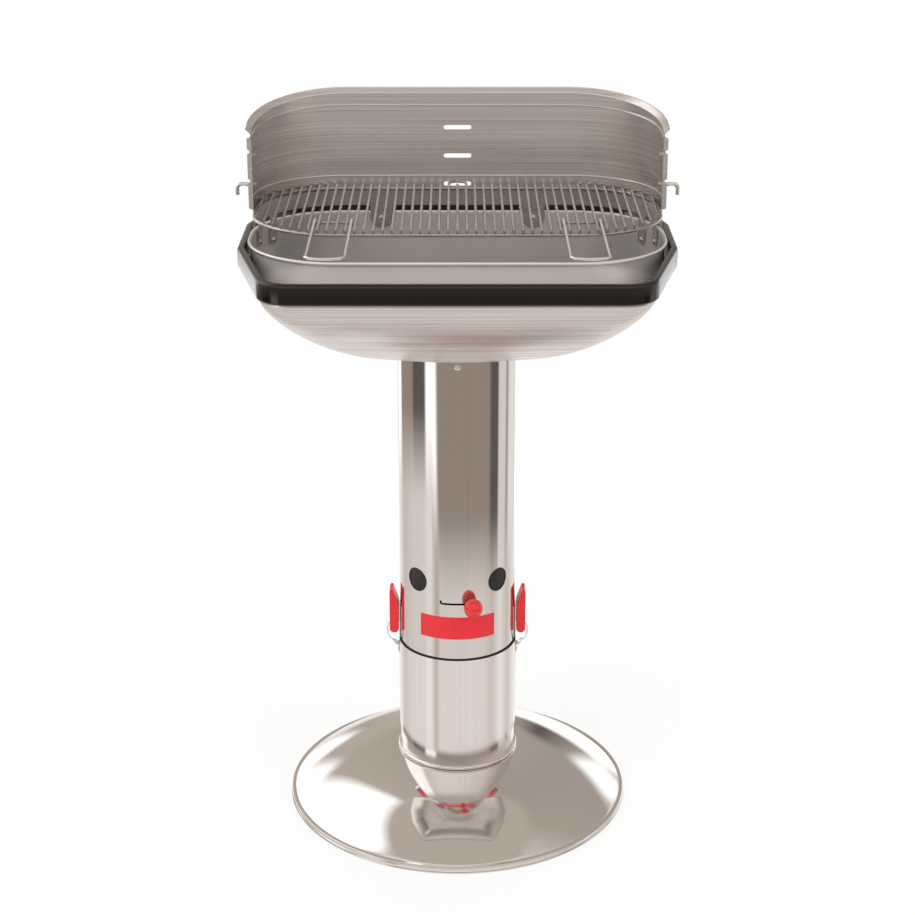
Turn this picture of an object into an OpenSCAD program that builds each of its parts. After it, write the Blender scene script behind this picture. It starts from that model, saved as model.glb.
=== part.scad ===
// Pedestal barbecue: a stainless bowl on a tubular column that stands in an ash pot on a spun foot.
// Millimetres, +Z up, +X to the right of the cook, +Y away from the cook.
// The origin is on the floor, on the axis of the column.

/* [Foot] */
// Outer radius of the spun foot
foot_r = 241.6; // [225:1:270]
// Height of the flat top of the foot's neck
neck_top_z = 71; // [60:1:90]
// Outer radius of the neck
neck_r = 74; // [66:1:76]
// Sheet thickness of the foot
foot_wall = 1.5; // [1:0.1:2]
// Height of the foot's edge band
foot_edge_h = 11; // [9:0.5:14]
// Width of the rolled bar under the foot's edge
foot_bead_w = 5; // [4:0.5:6]
// Width of the flat band inside the foot's edge
foot_band_w = 7; // [5:0.5:9]

/* [Ash pot] */
// Outer radius of the ash pot
pot_r = 82.7; // [80:0.1:84]
// Sheet thickness of the pot
pot_wall = 1; // [0.8:0.1:1.2]
// Height of the pot's rim above the floor
pot_rim_z = 241.7; // [225:1:260]
// Radius of the rolled seam round the pot's bottom
pot_seam_r = 2.6; // [2:0.1:3]
// Height of the sealing ring on the pot's rim
seal_h = 1.9; // [1.2:0.1:3]
// Angle of a rest tab from the front
tab_angle = 55; // [48:1:65]
// Width of a rest tab
tab_w = 7; // [5:0.5:9]
// Reach of a rest tab into the pot
tab_reach = 3.4; // [3:0.1:4]
// Height of a rest tab
tab_h = 4; // [3:0.5:5]
// Depth of the column's end below the pot's rim
column_drop = 8; // [7:0.5:12]
// Radius of a foot bolt
foot_bolt_r = 2.5; // [2:0.1:3]
// Radius of the circle of foot bolts
foot_bolt_circle_r = 50; // [40:1:56]

/* [Column] */
// Outer radius of the column
column_r = 80.9; // [79:0.1:81]
// Sheet thickness of the column
column_wall = 1; // [0.8:0.1:1.2]
// Height of the column's top, where the bowl sits
column_top_z = 681; // [660:1:700]
// Radius of a column screw
column_screw_r = 2.4; // [2:0.1:3]
// Radius of a column screw's head
column_screw_head_r = 4.4; // [4:0.1:5]
// Distance of the screws below the column's top
column_screw_drop = 13; // [10:0.5:16]
// Radius of an air vent
vent_r = 17; // [14:0.5:17.5]
// Height of the vents' centres
vent_z = 355; // [350:1:365]
// Angle of a vent from the front or the back
vent_angle = 43.5; // [41:0.5:46]

/* [Damper] */
// Height of the slot's middle
slot_z = 327; // [324:0.5:329]
// Height of the slot
slot_h = 2.8; // [2.4:0.1:3.6]
// Half angle of the slot
slot_half_angle = 16.5; // [15.5:0.5:18]
// Angle that the damper turns through
damper_travel = 26; // [25:0.5:27]
// Thickness of the damper band
damper_wall = 0.9; // [0.7:0.1:1.2]
// Height of the damper band
damper_h = 52; // [48:1:56]
// Thickness of the damper's lever
lever_t = 1.8; // [1.4:0.1:2]
// Width of the damper's lever
lever_w = 8; // [6:0.5:9]
// Radius of the ball knob
knob_r = 13.2; // [11:0.1:15]
// Gap between the ball knob and the column
knob_gap = 1.9; // [1:0.1:4]

/* [Label] */
// Height of the label plate's lower edge
label_z = 274; // [268:1:278]
// Height of the label plate
label_h = 33; // [25:1:34]
// Half angle of the label plate
label_half_angle = 38.5; // [30:0.5:42]
// Thickness of the label plate
label_t = 0.5; // [0.4:0.1:1]

/* [Bowl] */
// Half width of the rim guard's outside
guard_hw = 285; // [284:0.5:300]
// Half depth of the rim guard's outside
guard_hd = 246; // [235:1:260]
// Half length of the guard's short side
guard_side_half = 62.5; // [50:1:75]
// Half length of the guard's front, corner to corner
guard_front_half = 239; // [225:1:245]
// Radius of the guard's side corners
guard_side_r = 15; // [12:1:20]
// Radius of the guard's front and back corners
guard_front_r = 45; // [35:1:55]
// Height of the guard's lower edge
guard_z = 799; // [795:0.5:803]
// Height of the guard
guard_h = 27; // [24:0.5:30]
// Thickness of the guard
guard_t = 8.9; // [8.5:0.1:9.1]
// Sheet thickness of the bowl
bowl_wall = 1.5; // [1.2:0.1:1.6]
// Radius of the bowl's flat bottom
bowl_flat_r = 84; // [83:0.5:95]
// Radius of the hole in the bowl's bottom
bowl_hole_r = 74; // [68:0.5:76]
// Height of the collar inside the column
collar_h = 27; // [22:1:32]
// Sheet thickness of the collar
collar_wall = 1.2; // [1:0.1:1.5]

/* [Fire ring] */
// Gap between the fire ring's lip and the guard's sides
ring_side_gap = 0.42; // [0.3:0.02:3]
// Half depth of the fire ring
ring_hd = 136; // [130:0.5:142]
// Corner radius of the fire ring
ring_r = 121; // [110:1:125]
// Sheet thickness of the fire ring
ring_wall = 1.2; // [1:0.1:1.4]
// Height of the fire ring's rolled lip
ring_lip_z = 823.2; // [821.5:0.1:826]
// Radius of the rolled lip
ring_lip_r = 2.2; // [1.8:0.1:2.3]
// Lowest height of the fire ring's front and back walls
ring_low_z = 715; // [705:1:730]

/* [Charcoal grate] */
// Half width of the charcoal grate, at its frame wire's centre
grate_hw = 206; // [196:1:214]
// Half depth of the charcoal grate
grate_hd = 126; // [110:1:130]
// Radius of the grate's frame wire
grate_wire_r = 3; // [2.5:0.1:3.5]
// Radius of a grate rod
grate_rod_r = 2.5; // [2:0.1:3]
// Pitch of the grate rods
grate_pitch = 17; // [14:0.5:22]

/* [Windscreen] */
// Gap between the windscreen's sides and the fire ring
screen_side_gap = 1.8; // [0.5:0.1:1.8]
// Gap between the windscreen's back and the fire ring
screen_gap = 0.4; // [0.3:0.05:0.6]
// Sheet thickness of the windscreen
screen_wall = 1; // [0.8:0.1:1.2]
// Height of the windscreen's lower edge
screen_z = 834; // [831:0.5:838]
// Height of the windscreen's back
screen_back_h = 154; // [141:1:166]
// Height of the windscreen's front ends
screen_front_h = 125; // [121:1:131]
// Width and rise of the flared rim
hem_w = 6.4; // [4:0.2:8]
// Width of the turned-out front ends
flange_w = 5; // [4:0.5:6]
// Drop of the upper bead below the top edge at the back
bead_drop = 14.5; // [12:0.5:18]
// Height of the level bead
bead_z = 875.5; // [872:0.5:880]
// Width of a bead
bead_w = 2.4; // [2:0.1:4]
// Depth of a bead
bead_t = 0.8; // [0.5:0.1:1]
// Height of the lowest grid position
grid_z = 863; // [861:0.5:866]
// Distance between two grid positions
grid_step = 39; // [36:0.5:42]
// Length of a grid slot
grid_slot_w = 38; // [34:0.5:44]
// Height of a grid slot
grid_slot_h = 6; // [5:0.1:7]
// Half distance between the back mounting tabs
tab_x = 105; // [95:1:115]
// Radius of a back mounting tab's round end
back_tab_r = 15.5; // [13:0.5:16]
// Radius of a side mounting tab's round end
side_tab_r = 7; // [6:0.5:9]
// Height of the mounting bolts
bolt_z = 816.8; // [815:0.2:817]
// Height of the front pair of side bolts
front_bolt_z = 805; // [803:0.5:809]
// Height of the rear pair of side bolts
rear_bolt_z = 799; // [797:0.5:803]
// Radius of a mounting bolt
bolt_r = 2; // [1.8:0.1:2]
// Radius of a utensil hook's rod
hook_rod_r = 2.6; // [2:0.1:3]
// Reach of a utensil hook
hook_reach = 20; // [14:1:24]
// Drop of a utensil hook's end
hook_drop = 14; // [10:1:20]
// Height of the utensil hooks above the windscreen's lower edge
hook_h = 58; // [54:1:61]

/* [Cooking grid] */
// Gap between the grid's frame and the windscreen's sides
grid_side_gap = 0.5; // [0.5:0.1:3]
// Gap between the grid's frame and the windscreen's back
grid_back_gap = 1.9; // [1.9:0.1:5]
// Corner radius of the grid's frame
grid_r = 113; // [113:1:118]
// Radius of the frame wire
frame_wire_r = 2.5; // [2:0.1:2.6]
// Radius of a grid rod
rod_r = 1.9; // [1.5:0.1:2.1]
// Pitch of the grid rods
rod_pitch = 11.8; // [11.4:0.1:13]
// Radius of the cross-wires that the handles turn on
cross_r = 1.75; // [1.4:0.05:1.9]
// Distance of the cross-wires before the grid's middle
cross_y = 69; // [55:1:85]
// Radius of a handle's wire
handle_wire_r = 2; // [1.6:0.1:2.1]
// Distance of the handles' corners from the grid's middle
handle_reach = 250; // [230:1:270]
// Radius of a handle's corners
handle_corner_r = 10; // [8:0.5:14]
// Half angle of a handle's bowed end
handle_bow_angle = 24; // [18:1:35]

/* [Latches] */
// Half width of a latch's grip
grip_half_w = 12; // [11:0.5:13]
// Height of a latch's grip above its pivot
grip_h = 59.5; // [50:0.5:66]
// Distance between a latch's two pivots
pivot_step = 27; // [24:0.5:28]
// Height of a latch's lower pivot above the pot's rim
pivot_rise = 16.5; // [16:0.5:18]
// Radius of a latch's pins
pin_r = 1.5; // [1.2:0.1:1.6]
// Thickness of a latch's base plate
plate_t = 1.2; // [1:0.1:1.4]
// Thickness of the draw hook
draw_t = 1.8; // [1.4:0.1:2]
// Half width of the draw hook
draw_half_w = 4.6; // [4:0.1:4.7]

/* [Hidden] */

// Round shapes are smooth enough for a close view
$fn = 96;
// Facets of small round parts
small_fn = 32;

// Gap between pieces that seat on each other
seat_gap = 0.3;
// Gap between sheets that are pressed together
lap_gap = 0.05;
// Radial clearance of a pin in its hole
run_gap = 0.06;
// Overrun of every cut
over = 1;
// Overlap that joins the pieces of one solid
weld = 0.3;

// Derived sizes of the foot, the pot and the column
foot_band_r = foot_r - foot_band_w;
foot_bead_share = 0.7;
foot_bead_c = foot_wall * foot_bead_share;
foot_shoulder_share = 0;
foot_slope_share = 0.6667;
foot_flare_share = 0.3333;
foot_drop_share = 1;
foot_steps = 20;
pot_floor_z = neck_top_z + lap_gap;
column_foot_z = pot_rim_z - column_drop;
screw_z = column_top_z - column_screw_drop;
screw_angles = [0, 120, 240];
foot_bolt_angles = [45, 135, 225, 315];
foot_bolt_head_r = 4.5;
foot_bolt_head_h = 2.6;
foot_bolt_tail = 4;
foot_nut_r = 4.6;
foot_nut_h = 3.6;
column_head_h = 2.2;
column_nut_r = 4.2;
column_nut_h = 3.4;
column_screw_tail = 2.4;

// Derived sizes of the damper
damper_r = column_r - column_wall - seat_gap;
damper_z = vent_z - damper_h / 2;
damper_split_angle = 4;
lever_angle = damper_travel / 2;
lever_leg_h = 13;
lever_z = slot_z - slot_h / 2 + seat_gap;
lever_rivet_r = 1.5;
lever_rivet_head_r = 2.6;
lever_rivet_head_h = 0.9;
knob_centre_r = column_r + knob_gap + knob_r;
slot_hook_h = 4.6;

// Derived sizes of the bowl and its guard
rim_offset = -(guard_t - bowl_wall) / 2 - bowl_wall / 4;
groove_h = 14;
bowl_rim_z = guard_z + groove_h - seat_gap;
bowl_levels = 10;
bowl_start_share = 0.5;
bowl_side_share = 0.985;
bowl_rise_share = 0.8;
corner_steps_side = 3;
corner_steps_front = 7;
run_steps_front = 10;
run_steps_slant = 5;
run_steps_side = 4;
collar_r = column_r - column_wall - seat_gap;
collar_in_r = collar_r - collar_wall;
collar_flange_t = bowl_wall;

// Derived sizes of the fire ring and the charcoal grate
lip_bite_share = 0.6;
lip_offset = ring_lip_r - lip_bite_share * ring_wall;
ring_hw = guard_hw - guard_t - ring_side_gap - lip_offset - ring_lip_r;
ring_end_z = bowl_height_at(ring_hw) + seat_gap;
ring_cut_r = (pow(ring_hw, 2) + pow(ring_end_z - ring_low_z, 2)) / (2 * (ring_end_z - ring_low_z));
grate_slope = (bowl_height_at(grate_hw + over) - bowl_height_at(grate_hw - over)) / (2 * over);
grate_z = bowl_height_at(grate_hw) + (grate_wire_r + seat_gap) * norm([1, grate_slope]);
grate_r = grate_hd - grate_wire_r;
grate_rod_rise = grate_wire_r + grate_rod_r + seat_gap / 3;
grate_count = floor((grate_hw - grate_wire_r) / grate_pitch);

// Derived sizes of the windscreen
screen_back_z = screen_z + screen_back_h;
screen_front_z = screen_z + screen_front_h;
hook_z = screen_z + hook_h;
screen_hw = ring_hw - ring_wall - screen_side_gap;
screen_hd = ring_hd - ring_wall - screen_gap;
screen_r = ring_r - (ring_hd - screen_hd);
screen_slope = atan((screen_back_z - screen_front_z) / screen_hd);
bead_front_drop = 3;
bead_slope = atan((screen_back_z - bead_drop - screen_front_z + bead_front_drop) / screen_hd);
flange_drop = 3;
flange_low_z = grid_z - flange_drop;
screen_tall = screen_back_z + hem_w;
hem_steps = 14;
hem_shares = [[0, 0], [0.77, 0.84], [0.88, 0.88], [1, 1], [1, 1.13], [0.91, 1.22], [0.78, 1.22],
    [0.69, 1.13], [0.67, 1.02]];
flange_t = 1.4;
notch_d = 3;
notch_h = 8;
lug_reach = 5;
lug_d = 9;
lug_t = 1.2;
hem_t = 1.3;
bolt_head_r = 4;
bolt_head_h = 2.2;
bolt_tail = 1.6;
nut_r = 3.8;
nut_h = 2.6;
front_bolt_angle = 14.4;
rear_bolt_angle = 32.5;
levels = [grid_z, grid_z + grid_step, grid_z + 2 * grid_step];

// Derived sizes of the cooking grid and its handles
grid_hw = screen_hw - screen_wall - frame_wire_r - grid_side_gap;
grid_hd = screen_hd - screen_wall - frame_wire_r - grid_back_gap;
frame_z = grid_z - rod_r - frame_wire_r - seat_gap;
cross_z = grid_z - rod_r - cross_r - seat_gap / 3;
rod_count = floor((grid_hw - frame_wire_r - rod_r) / rod_pitch);
rod_over = 1.6;
slot_rise = 0.9;
loop_y = screen_hd + rod_r + 2 * seat_gap + hem_w / 3;
handle_end_share = 6.5;
handle_width_share = 4;
handle_outer_x = (rod_count - handle_end_share) * rod_pitch;
handle_inner_x = handle_outer_x - handle_width_share * rod_pitch;
handle_x = (handle_inner_x + handle_outer_x) / 2;
handle_half = (handle_outer_x - handle_inner_x) / 2;
eye_r = cross_r + run_gap + handle_wire_r;
eye_turn = 260;
eye_steps = 18;
corner_steps = 6;
bow_steps = 8;
bow_skip = 3;
wire_sides = 16;
handle_z = cross_z + eye_r;
cross_over = 8;

// Derived sizes of the latches
pivot_stand = 7.1;
pivot_n = column_r + lap_gap + plate_t + pivot_stand;
grip_back_gap = 0.75;
grip_end_r = pivot_stand - grip_back_gap;
pivot_z = pot_rim_z + pivot_rise;
link_step_in = 2.8;
link_n = pivot_n - link_step_in;
link_z = pivot_z + pivot_step;
grip_top_half = 2.8;
grip_slant_h = 37;
grip_tip_share = 1.8;
grip_open_h = 33.5;
grip_open_z = pivot_z + grip_open_h;
cheek_in = 7.4;
liner_in = 6.3;
liner_t = 1;
ear_in = 5;
ear_t = 1;
ear_r = 3.2;
plate_low = 14;
plate_high = 34;
draw_eye_r = 3.4;
draw_r = 19.6;
draw_top_angle = 35;
draw_low_angle = -38;
draw_step_in = 9.7;
draw_step_low = 4.6;
draw_centre_n = pivot_n - draw_step_in;
draw_centre_z = pivot_z - draw_step_low;
catch_t = 1;
catch_half_w = 6.5;
catch_lip = 1.5;
catch_low = 12;
catch_margin = 1;
rivet_r = 1.4;
rivet_head_r = 2.3;
rivet_head_h = 0.8;
draw_leg = 15.2;
nose_reach = 1.6;
draw_steps = 14;

// Colours as the material shows in daylight
steel = [0.74, 0.71, 0.69];
bright = [0.82, 0.81, 0.80];
black = [0.07, 0.065, 0.06];
dark = [0.16, 0.155, 0.15];
red = [0.86, 0.12, 0.14];
wire = [0.66, 0.63, 0.61];

// A point on a cubic curve through four control values
function cubic(p, t) = pow(1 - t, 3) * p[0] + 3 * pow(1 - t, 2) * t * p[1]
    + 3 * (1 - t) * pow(t, 2) * p[2] + pow(t, 3) * p[3];

// Unit vector at an angle
function unit(a) = [cos(a), sin(a)];

// Outer corners of the rim in plan, each with its fillet radius and its number of steps
rim_corners = [
    [guard_hw, -guard_side_half, guard_side_r, corner_steps_side],
    [guard_hw, guard_side_half, guard_side_r, corner_steps_side],
    [guard_front_half, guard_hd, guard_front_r, corner_steps_front],
    [-guard_front_half, guard_hd, guard_front_r, corner_steps_front],
    [-guard_hw, guard_side_half, guard_side_r, corner_steps_side],
    [-guard_hw, -guard_side_half, guard_side_r, corner_steps_side],
    [-guard_front_half, -guard_hd, guard_front_r, corner_steps_front],
    [guard_front_half, -guard_hd, guard_front_r, corner_steps_front]];
// Steps along the straight run that follows each corner
rim_runs = [run_steps_side, run_steps_slant, run_steps_front, run_steps_slant,
    run_steps_side, run_steps_slant, run_steps_front, run_steps_slant];
rim_n = len(rim_corners);

// Outward direction of the straight run that follows corner i
function run_angle(i) = let (a = rim_corners[i % rim_n], b = rim_corners[(i + 1) % rim_n])
    atan2(b[1] - a[1], b[0] - a[0]) - 90;

// Angle turned at corner i
function turn(i) = let (d = run_angle(i) - run_angle(i + rim_n - 1)) d - 360 * round(d / 360);

// Centre of the fillet at corner i
function fillet_centre(i) = let (c = rim_corners[i], a = run_angle(i + rim_n - 1), h = turn(i) / 2)
    [c[0], c[1]] - unit(a + h) * c[2] / cos(h);

// The rim's stations: each is a point, and the direction that points outward there
function fillet_stations(i) = let (c = rim_corners[i], a = run_angle(i + rim_n - 1))
    [for (k = [0:c[3]]) let (u = unit(a + turn(i) * k / c[3])) [fillet_centre(i) + u * c[2], u]];
function run_stations(i) = let (
    a = last(fillet_stations(i)), b = fillet_stations((i + 1) % rim_n)[0], n = rim_runs[i])
    [for (k = [1:n - 1]) [a[0] + (b[0] - a[0]) * k / n, a[1]]];
function last(v) = v[len(v) - 1];
stations = [for (i = [0:rim_n - 1]) each concat(fillet_stations(i), run_stations(i))];

// Share of the way from the bottom's radius to the rim, and the share of the height, at curve value t
function bowl_out(t) = cubic([0, bowl_start_share, bowl_side_share, 1], t);
function bowl_up(t) = cubic([0, 0, bowl_rise_share, 1], t);

// The bowl's section at one station: outer skin up, inner skin down
function bowl_point(s, offset, low, t) = let (
    rim = s[0] + s[1] * offset, u = rim / norm(rim),
    p = u * bowl_flat_r * (1 - bowl_out(t)) + rim * bowl_out(t))
    [p[0], p[1], low + (guard_z - bowl_wall - low) * bowl_up(t)];
function bowl_section(s) = let (
    rim = s[0] + s[1] * rim_offset, inner = s[0] + s[1] * (rim_offset - bowl_wall),
    u = rim / norm(rim), v = inner / norm(inner)) concat(
    [[u[0] * bowl_hole_r, u[1] * bowl_hole_r, column_top_z]],
    [for (k = [0:bowl_levels]) bowl_point(s, rim_offset, column_top_z, k / bowl_levels)],
    [[rim[0], rim[1], bowl_rim_z], [inner[0], inner[1], bowl_rim_z]],
    [for (k = [0:bowl_levels])
        bowl_point(s, rim_offset - bowl_wall, column_top_z + bowl_wall, 1 - k / bowl_levels)],
    [[v[0] * bowl_hole_r, v[1] * bowl_hole_r, column_top_z + bowl_wall]]);

// Heights of the bowl's inner skin along the X axis
function inner_rim_x() = guard_hw + rim_offset - bowl_wall;
function inner_table() = [for (k = [0:bowl_levels]) let (t = k / bowl_levels)
    [bowl_flat_r + (inner_rim_x() - bowl_flat_r) * bowl_out(t),
        column_top_z + bowl_wall + (guard_z - column_top_z - 2 * bowl_wall) * bowl_up(t)]];
function bowl_height_at(x) = lookup(x, inner_table());

// A skin through sections that all have as many points; an open one gets flat ends
module loft(sections, closed) {
    n = len(sections);
    m = len(sections[0]);
    points = [for (s = sections) each s];
    skin = [for (i = [0:closed ? n - 1 : n - 2], j = [0:m - 1]) let (
        a = i * m + j, b = ((i + 1) % n) * m + j,
        c = ((i + 1) % n) * m + (j + 1) % m, d = i * m + (j + 1) % m)
        each [[a, c, b], [a, d, c]]];
    ends = closed ? [] : [[for (j = [0:m - 1]) m - 1 - j], [for (j = [0:m - 1]) (n - 1) * m + j]];
    polyhedron(points, concat(skin, ends), convexity = 6);
}

// A rounded rectangle by half sizes and corner radius
module rounded_rect(hw, hd, r) {
    square([2 * hw, 2 * (hd - r)], center = true);
    square([2 * (hw - r), 2 * hd], center = true);
    for (x = [-1, 1], y = [-1, 1])
        translate([x * (hw - r), y * (hd - r)]) circle(r);
}

// A wall that follows a rounded rectangle, its outer face on the given sizes
module rounded_wall(hw, hd, r, t, h) {
    linear_extrude(h) difference() {
        rounded_rect(hw, hd, r);
        rounded_rect(hw - t, hd - t, r - t);
    }
}

// A round wire bent to a rounded rectangle, level, with its centre line on the given sizes
module wire_loop(hw, hd, r, wire_r) {
    for (s = [-1, 1]) {
        translate([-(hw - r), s * hd, 0]) rotate([0, 90, 0])
            cylinder(r = wire_r, h = 2 * (hw - r), $fn = small_fn);
        translate([s * hw, hd - r, 0]) rotate([90, 0, 0])
            cylinder(r = wire_r, h = 2 * (hd - r), $fn = small_fn);
    }
    for (q = [0:3]) let (a = 90 * q)
        translate([sign(cos(a + 45)) * (hw - r), sign(sin(a + 45)) * (hd - r), 0]) rotate([0, 0, a])
            rotate_extrude(angle = 90) translate([r, 0]) circle(wire_r, $fn = small_fn);
}

// A cylinder that points outward from the column's axis, at an angle from the front
module radial(angle, from_r, to_r, r, z, fn = small_fn) {
    rotate([0, 0, angle - 90]) translate([from_r, 0, z]) rotate([0, 90, 0])
        cylinder(r = r, h = to_r - from_r, $fn = fn);
}

// A low domed head that points outward, seated on a round wall
module radial_head(angle, from_r, head_r, head_h, z) {
    rotate([0, 0, angle - 90]) translate([from_r, 0, z]) rotate([0, 90, 0]) dome(head_r, head_h);
}

// A dome of revolution: the cap of a sphere on its flat face
module dome(r, h) {
    ball_r = (pow(r, 2) + pow(h, 2)) / (2 * h);
    intersection() {
        translate([0, 0, h - ball_r]) sphere(ball_r, $fn = small_fn);
        cylinder(r = r + over, h = h + over, $fn = small_fn);
    }
}

// Half-turn arc of a curved band, drawn about the front
module front_arc(inner_r, outer_r, half_angle, h) {
    rotate([0, 0, -90 - half_angle]) rotate_extrude(angle = 2 * half_angle)
        translate([inner_r, 0]) square([outer_r - inner_r, h]);
}

// The upper line of the foot's section, from the neck to the edge band
function foot_line(drop) = [for (k = [0:foot_steps]) let (t = k / foot_steps)
    [cubic([neck_r, neck_r + (foot_band_r - neck_r) * foot_flare_share,
        neck_r + (foot_band_r - neck_r) * foot_slope_share, foot_band_r], t),
    cubic([neck_top_z, neck_top_z - (neck_top_z - foot_edge_h) * foot_shoulder_share,
        foot_edge_h + (neck_top_z - foot_edge_h) * foot_slope_share * foot_drop_share,
        foot_edge_h], t) - drop]];

module base_dish() {
    upper = foot_line(0);
    lower = foot_line(foot_wall);
    color(bright) difference() {
        rotate_extrude() {
            polygon(concat([[0, neck_top_z]], upper,
                [[foot_r - foot_bead_c, foot_edge_h - foot_bead_c], [foot_r, foot_edge_h - 2 * foot_bead_c],
                    [foot_r, foot_bead_c], [foot_r - foot_bead_c, 0],
                    [foot_r - foot_bead_w + foot_bead_c, 0], [foot_r - foot_bead_w, foot_bead_c],
                    [foot_r - foot_bead_w, foot_bead_w - foot_bead_c],
                    [foot_r - foot_wall - foot_bead_c, foot_bead_w],
                    [foot_r - foot_wall - foot_bead_c, foot_edge_h - foot_wall - foot_bead_c]],
                [for (k = [0:foot_steps]) lower[foot_steps - k]
                    - [foot_wall * k / foot_steps, 0]],
                [[0, neck_top_z - foot_wall]]));
        }
        for (a = foot_bolt_angles) rotate([0, 0, a])
            translate([foot_bolt_circle_r, 0, neck_top_z - foot_wall - over])
                cylinder(r = foot_bolt_r + run_gap, h = foot_wall + 2 * over, $fn = small_fn);
    }
}

module foot_bolts() {
    color(bright) for (a = foot_bolt_angles) rotate([0, 0, a]) translate([foot_bolt_circle_r, 0, 0]) {
        bolt_top = pot_floor_z + pot_wall + lap_gap;
        bolt_low = neck_top_z - foot_wall - foot_nut_h - foot_bolt_tail;
        translate([0, 0, bolt_low])
            cylinder(r = foot_bolt_r, h = bolt_top - bolt_low + weld, $fn = small_fn);
        translate([0, 0, bolt_top]) dome(foot_bolt_head_r, foot_bolt_head_h);
    }
}

module foot_nuts() {
    color(steel) for (a = foot_bolt_angles) rotate([0, 0, a])
        translate([foot_bolt_circle_r, 0, neck_top_z - foot_wall - lap_gap - foot_nut_h]) difference() {
            cylinder(r = foot_nut_r, h = foot_nut_h, $fn = 6);
            translate([0, 0, -over])
                cylinder(r = foot_bolt_r + run_gap, h = foot_nut_h + 2 * over, $fn = small_fn);
        }
}

// One tab pressed into the pot, on which the column's end rests
module rest_tab(angle) {
    rotate([0, 0, angle - 90]) translate([pot_r - pot_wall - tab_reach, 0, column_foot_z - lap_gap])
        rotate([90, 0, 0]) translate([0, 0, -tab_w / 2]) linear_extrude(tab_w)
            polygon([[0, 0], [tab_reach + pot_wall / 2, 0], [tab_reach + pot_wall / 2, -tab_h]]);
}

tab_angles = [-tab_angle, tab_angle, 180 - tab_angle, 180 + tab_angle];

module ash_pot() {
    color(steel) difference() {
        union() {
            rotate_extrude() {
                translate([0, pot_floor_z]) square([pot_r, pot_wall]);
                translate([pot_r - pot_wall, pot_floor_z])
                    square([pot_wall, pot_rim_z - pot_floor_z]);
                translate([pot_r, pot_floor_z + pot_seam_r]) circle(pot_seam_r, $fn = small_fn);
            }
            for (a = tab_angles) rest_tab(a);
        }
        for (a = foot_bolt_angles) rotate([0, 0, a])
            translate([foot_bolt_circle_r, 0, pot_floor_z - over])
                cylinder(r = foot_bolt_r + run_gap, h = pot_wall + 2 * over, $fn = small_fn);
        for (s = [-1, 1]) rotate([0, 0, s * 90]) for (z = catch_rivet_heights)
            radial(0, pot_r - pot_wall - over, pot_r + over, rivet_r + run_gap, z);
    }
}

module pot_seal() {
    color(black) translate([0, 0, pot_rim_z]) difference() {
        cylinder(r = pot_r - lap_gap, h = seal_h);
        translate([0, 0, -over]) cylinder(r = column_r + lap_gap, h = seal_h + 2 * over);
    }
}

module column() {
    color(bright) difference() {
        translate([0, 0, column_foot_z]) difference() {
            cylinder(r = column_r, h = column_top_z - column_foot_z);
            translate([0, 0, -over])
                cylinder(r = column_r - column_wall, h = column_top_z - column_foot_z + 2 * over);
        }
        for (a = [-vent_angle, vent_angle, 180 - vent_angle, 180 + vent_angle])
            radial(a, column_r / 2, column_r + over, vent_r, vent_z, $fn);
        for (a = screw_angles)
            radial(a, column_r / 2, column_r + over, column_screw_r + run_gap, screw_z);
        translate([0, 0, slot_z - slot_h / 2])
            front_arc(column_r - column_wall - over, column_r + over, slot_half_angle, slot_h);
        rotate([0, 0, -slot_half_angle - 90])
            translate([column_r - column_wall - over, -slot_h / 2, slot_z])
                cube([column_wall + 2 * over, slot_h, slot_hook_h]);
        for (s = [0, 180], z = base_rivet_heights)
            radial(90 + s, column_r - column_wall - over, column_r + over, rivet_r + run_gap, z);
    }
}

module column_screws() {
    color(bright) for (a = screw_angles) {
        radial(a, collar_in_r - column_nut_h - column_screw_tail, column_r + weld,
            column_screw_r, screw_z);
        radial_head(a, column_r, column_screw_head_r, column_head_h, screw_z);
    }
}

module column_nuts() {
    color(steel) for (a = screw_angles) difference() {
        radial(a, collar_in_r - lap_gap - column_nut_h, collar_in_r - lap_gap - sag(column_nut_r, collar_r),
            column_nut_r, screw_z, 6);
        radial(a, column_r / 2, column_r, column_screw_r + run_gap, screw_z);
    }
}

// Depth by which a round wall of radius r falls away under a flat of half width w
function sag(w, r) = r - sqrt(pow(r, 2) - pow(w, 2));

module label_plate() {
    color(red) translate([0, 0, label_z])
        front_arc(column_r + lap_gap, column_r + lap_gap + label_t, label_half_angle, label_h);
}

module bowl() {
    color(steel) loft([for (s = stations) bowl_section(s)], true);
}

module bowl_collar() {
    color(steel) difference() {
        rotate_extrude() {
            translate([collar_r - collar_wall, column_top_z - collar_h])
                square([collar_wall, collar_h - lap_gap]);
            translate([bowl_hole_r, column_top_z - lap_gap - collar_flange_t])
                square([collar_r - bowl_hole_r, collar_flange_t]);
        }
        for (a = screw_angles)
            radial(a, column_r / 2, column_r, column_screw_r + run_gap, screw_z);
    }
}

// Section of the guard: a rounded bar with a groove from below that holds the bowl's rim
guard_round_share = 0.16;
guard_soft_share = 0.055;
function guard_profile() = let (
    t = guard_t, h = guard_h, r = guard_h * guard_round_share, e = guard_h * guard_soft_share,
    outer = rim_offset + seat_gap, inner = rim_offset - bowl_wall - seat_gap)
    [[-t + e, 0], [inner, 0], [inner, groove_h], [outer, groove_h], [outer, 0], [-r / 3, 0],
        [0, r], [0, h - r], [-e, h - e], [-r, h], [-t + e, h], [-t, h - e], [-t, e]];

module rim_guard() {
    color(black) loft([for (s = stations) [for (p = guard_profile())
        let (q = s[0] + s[1] * p[0]) [q[0], q[1], guard_z + p[1]]]], true);
}

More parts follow.
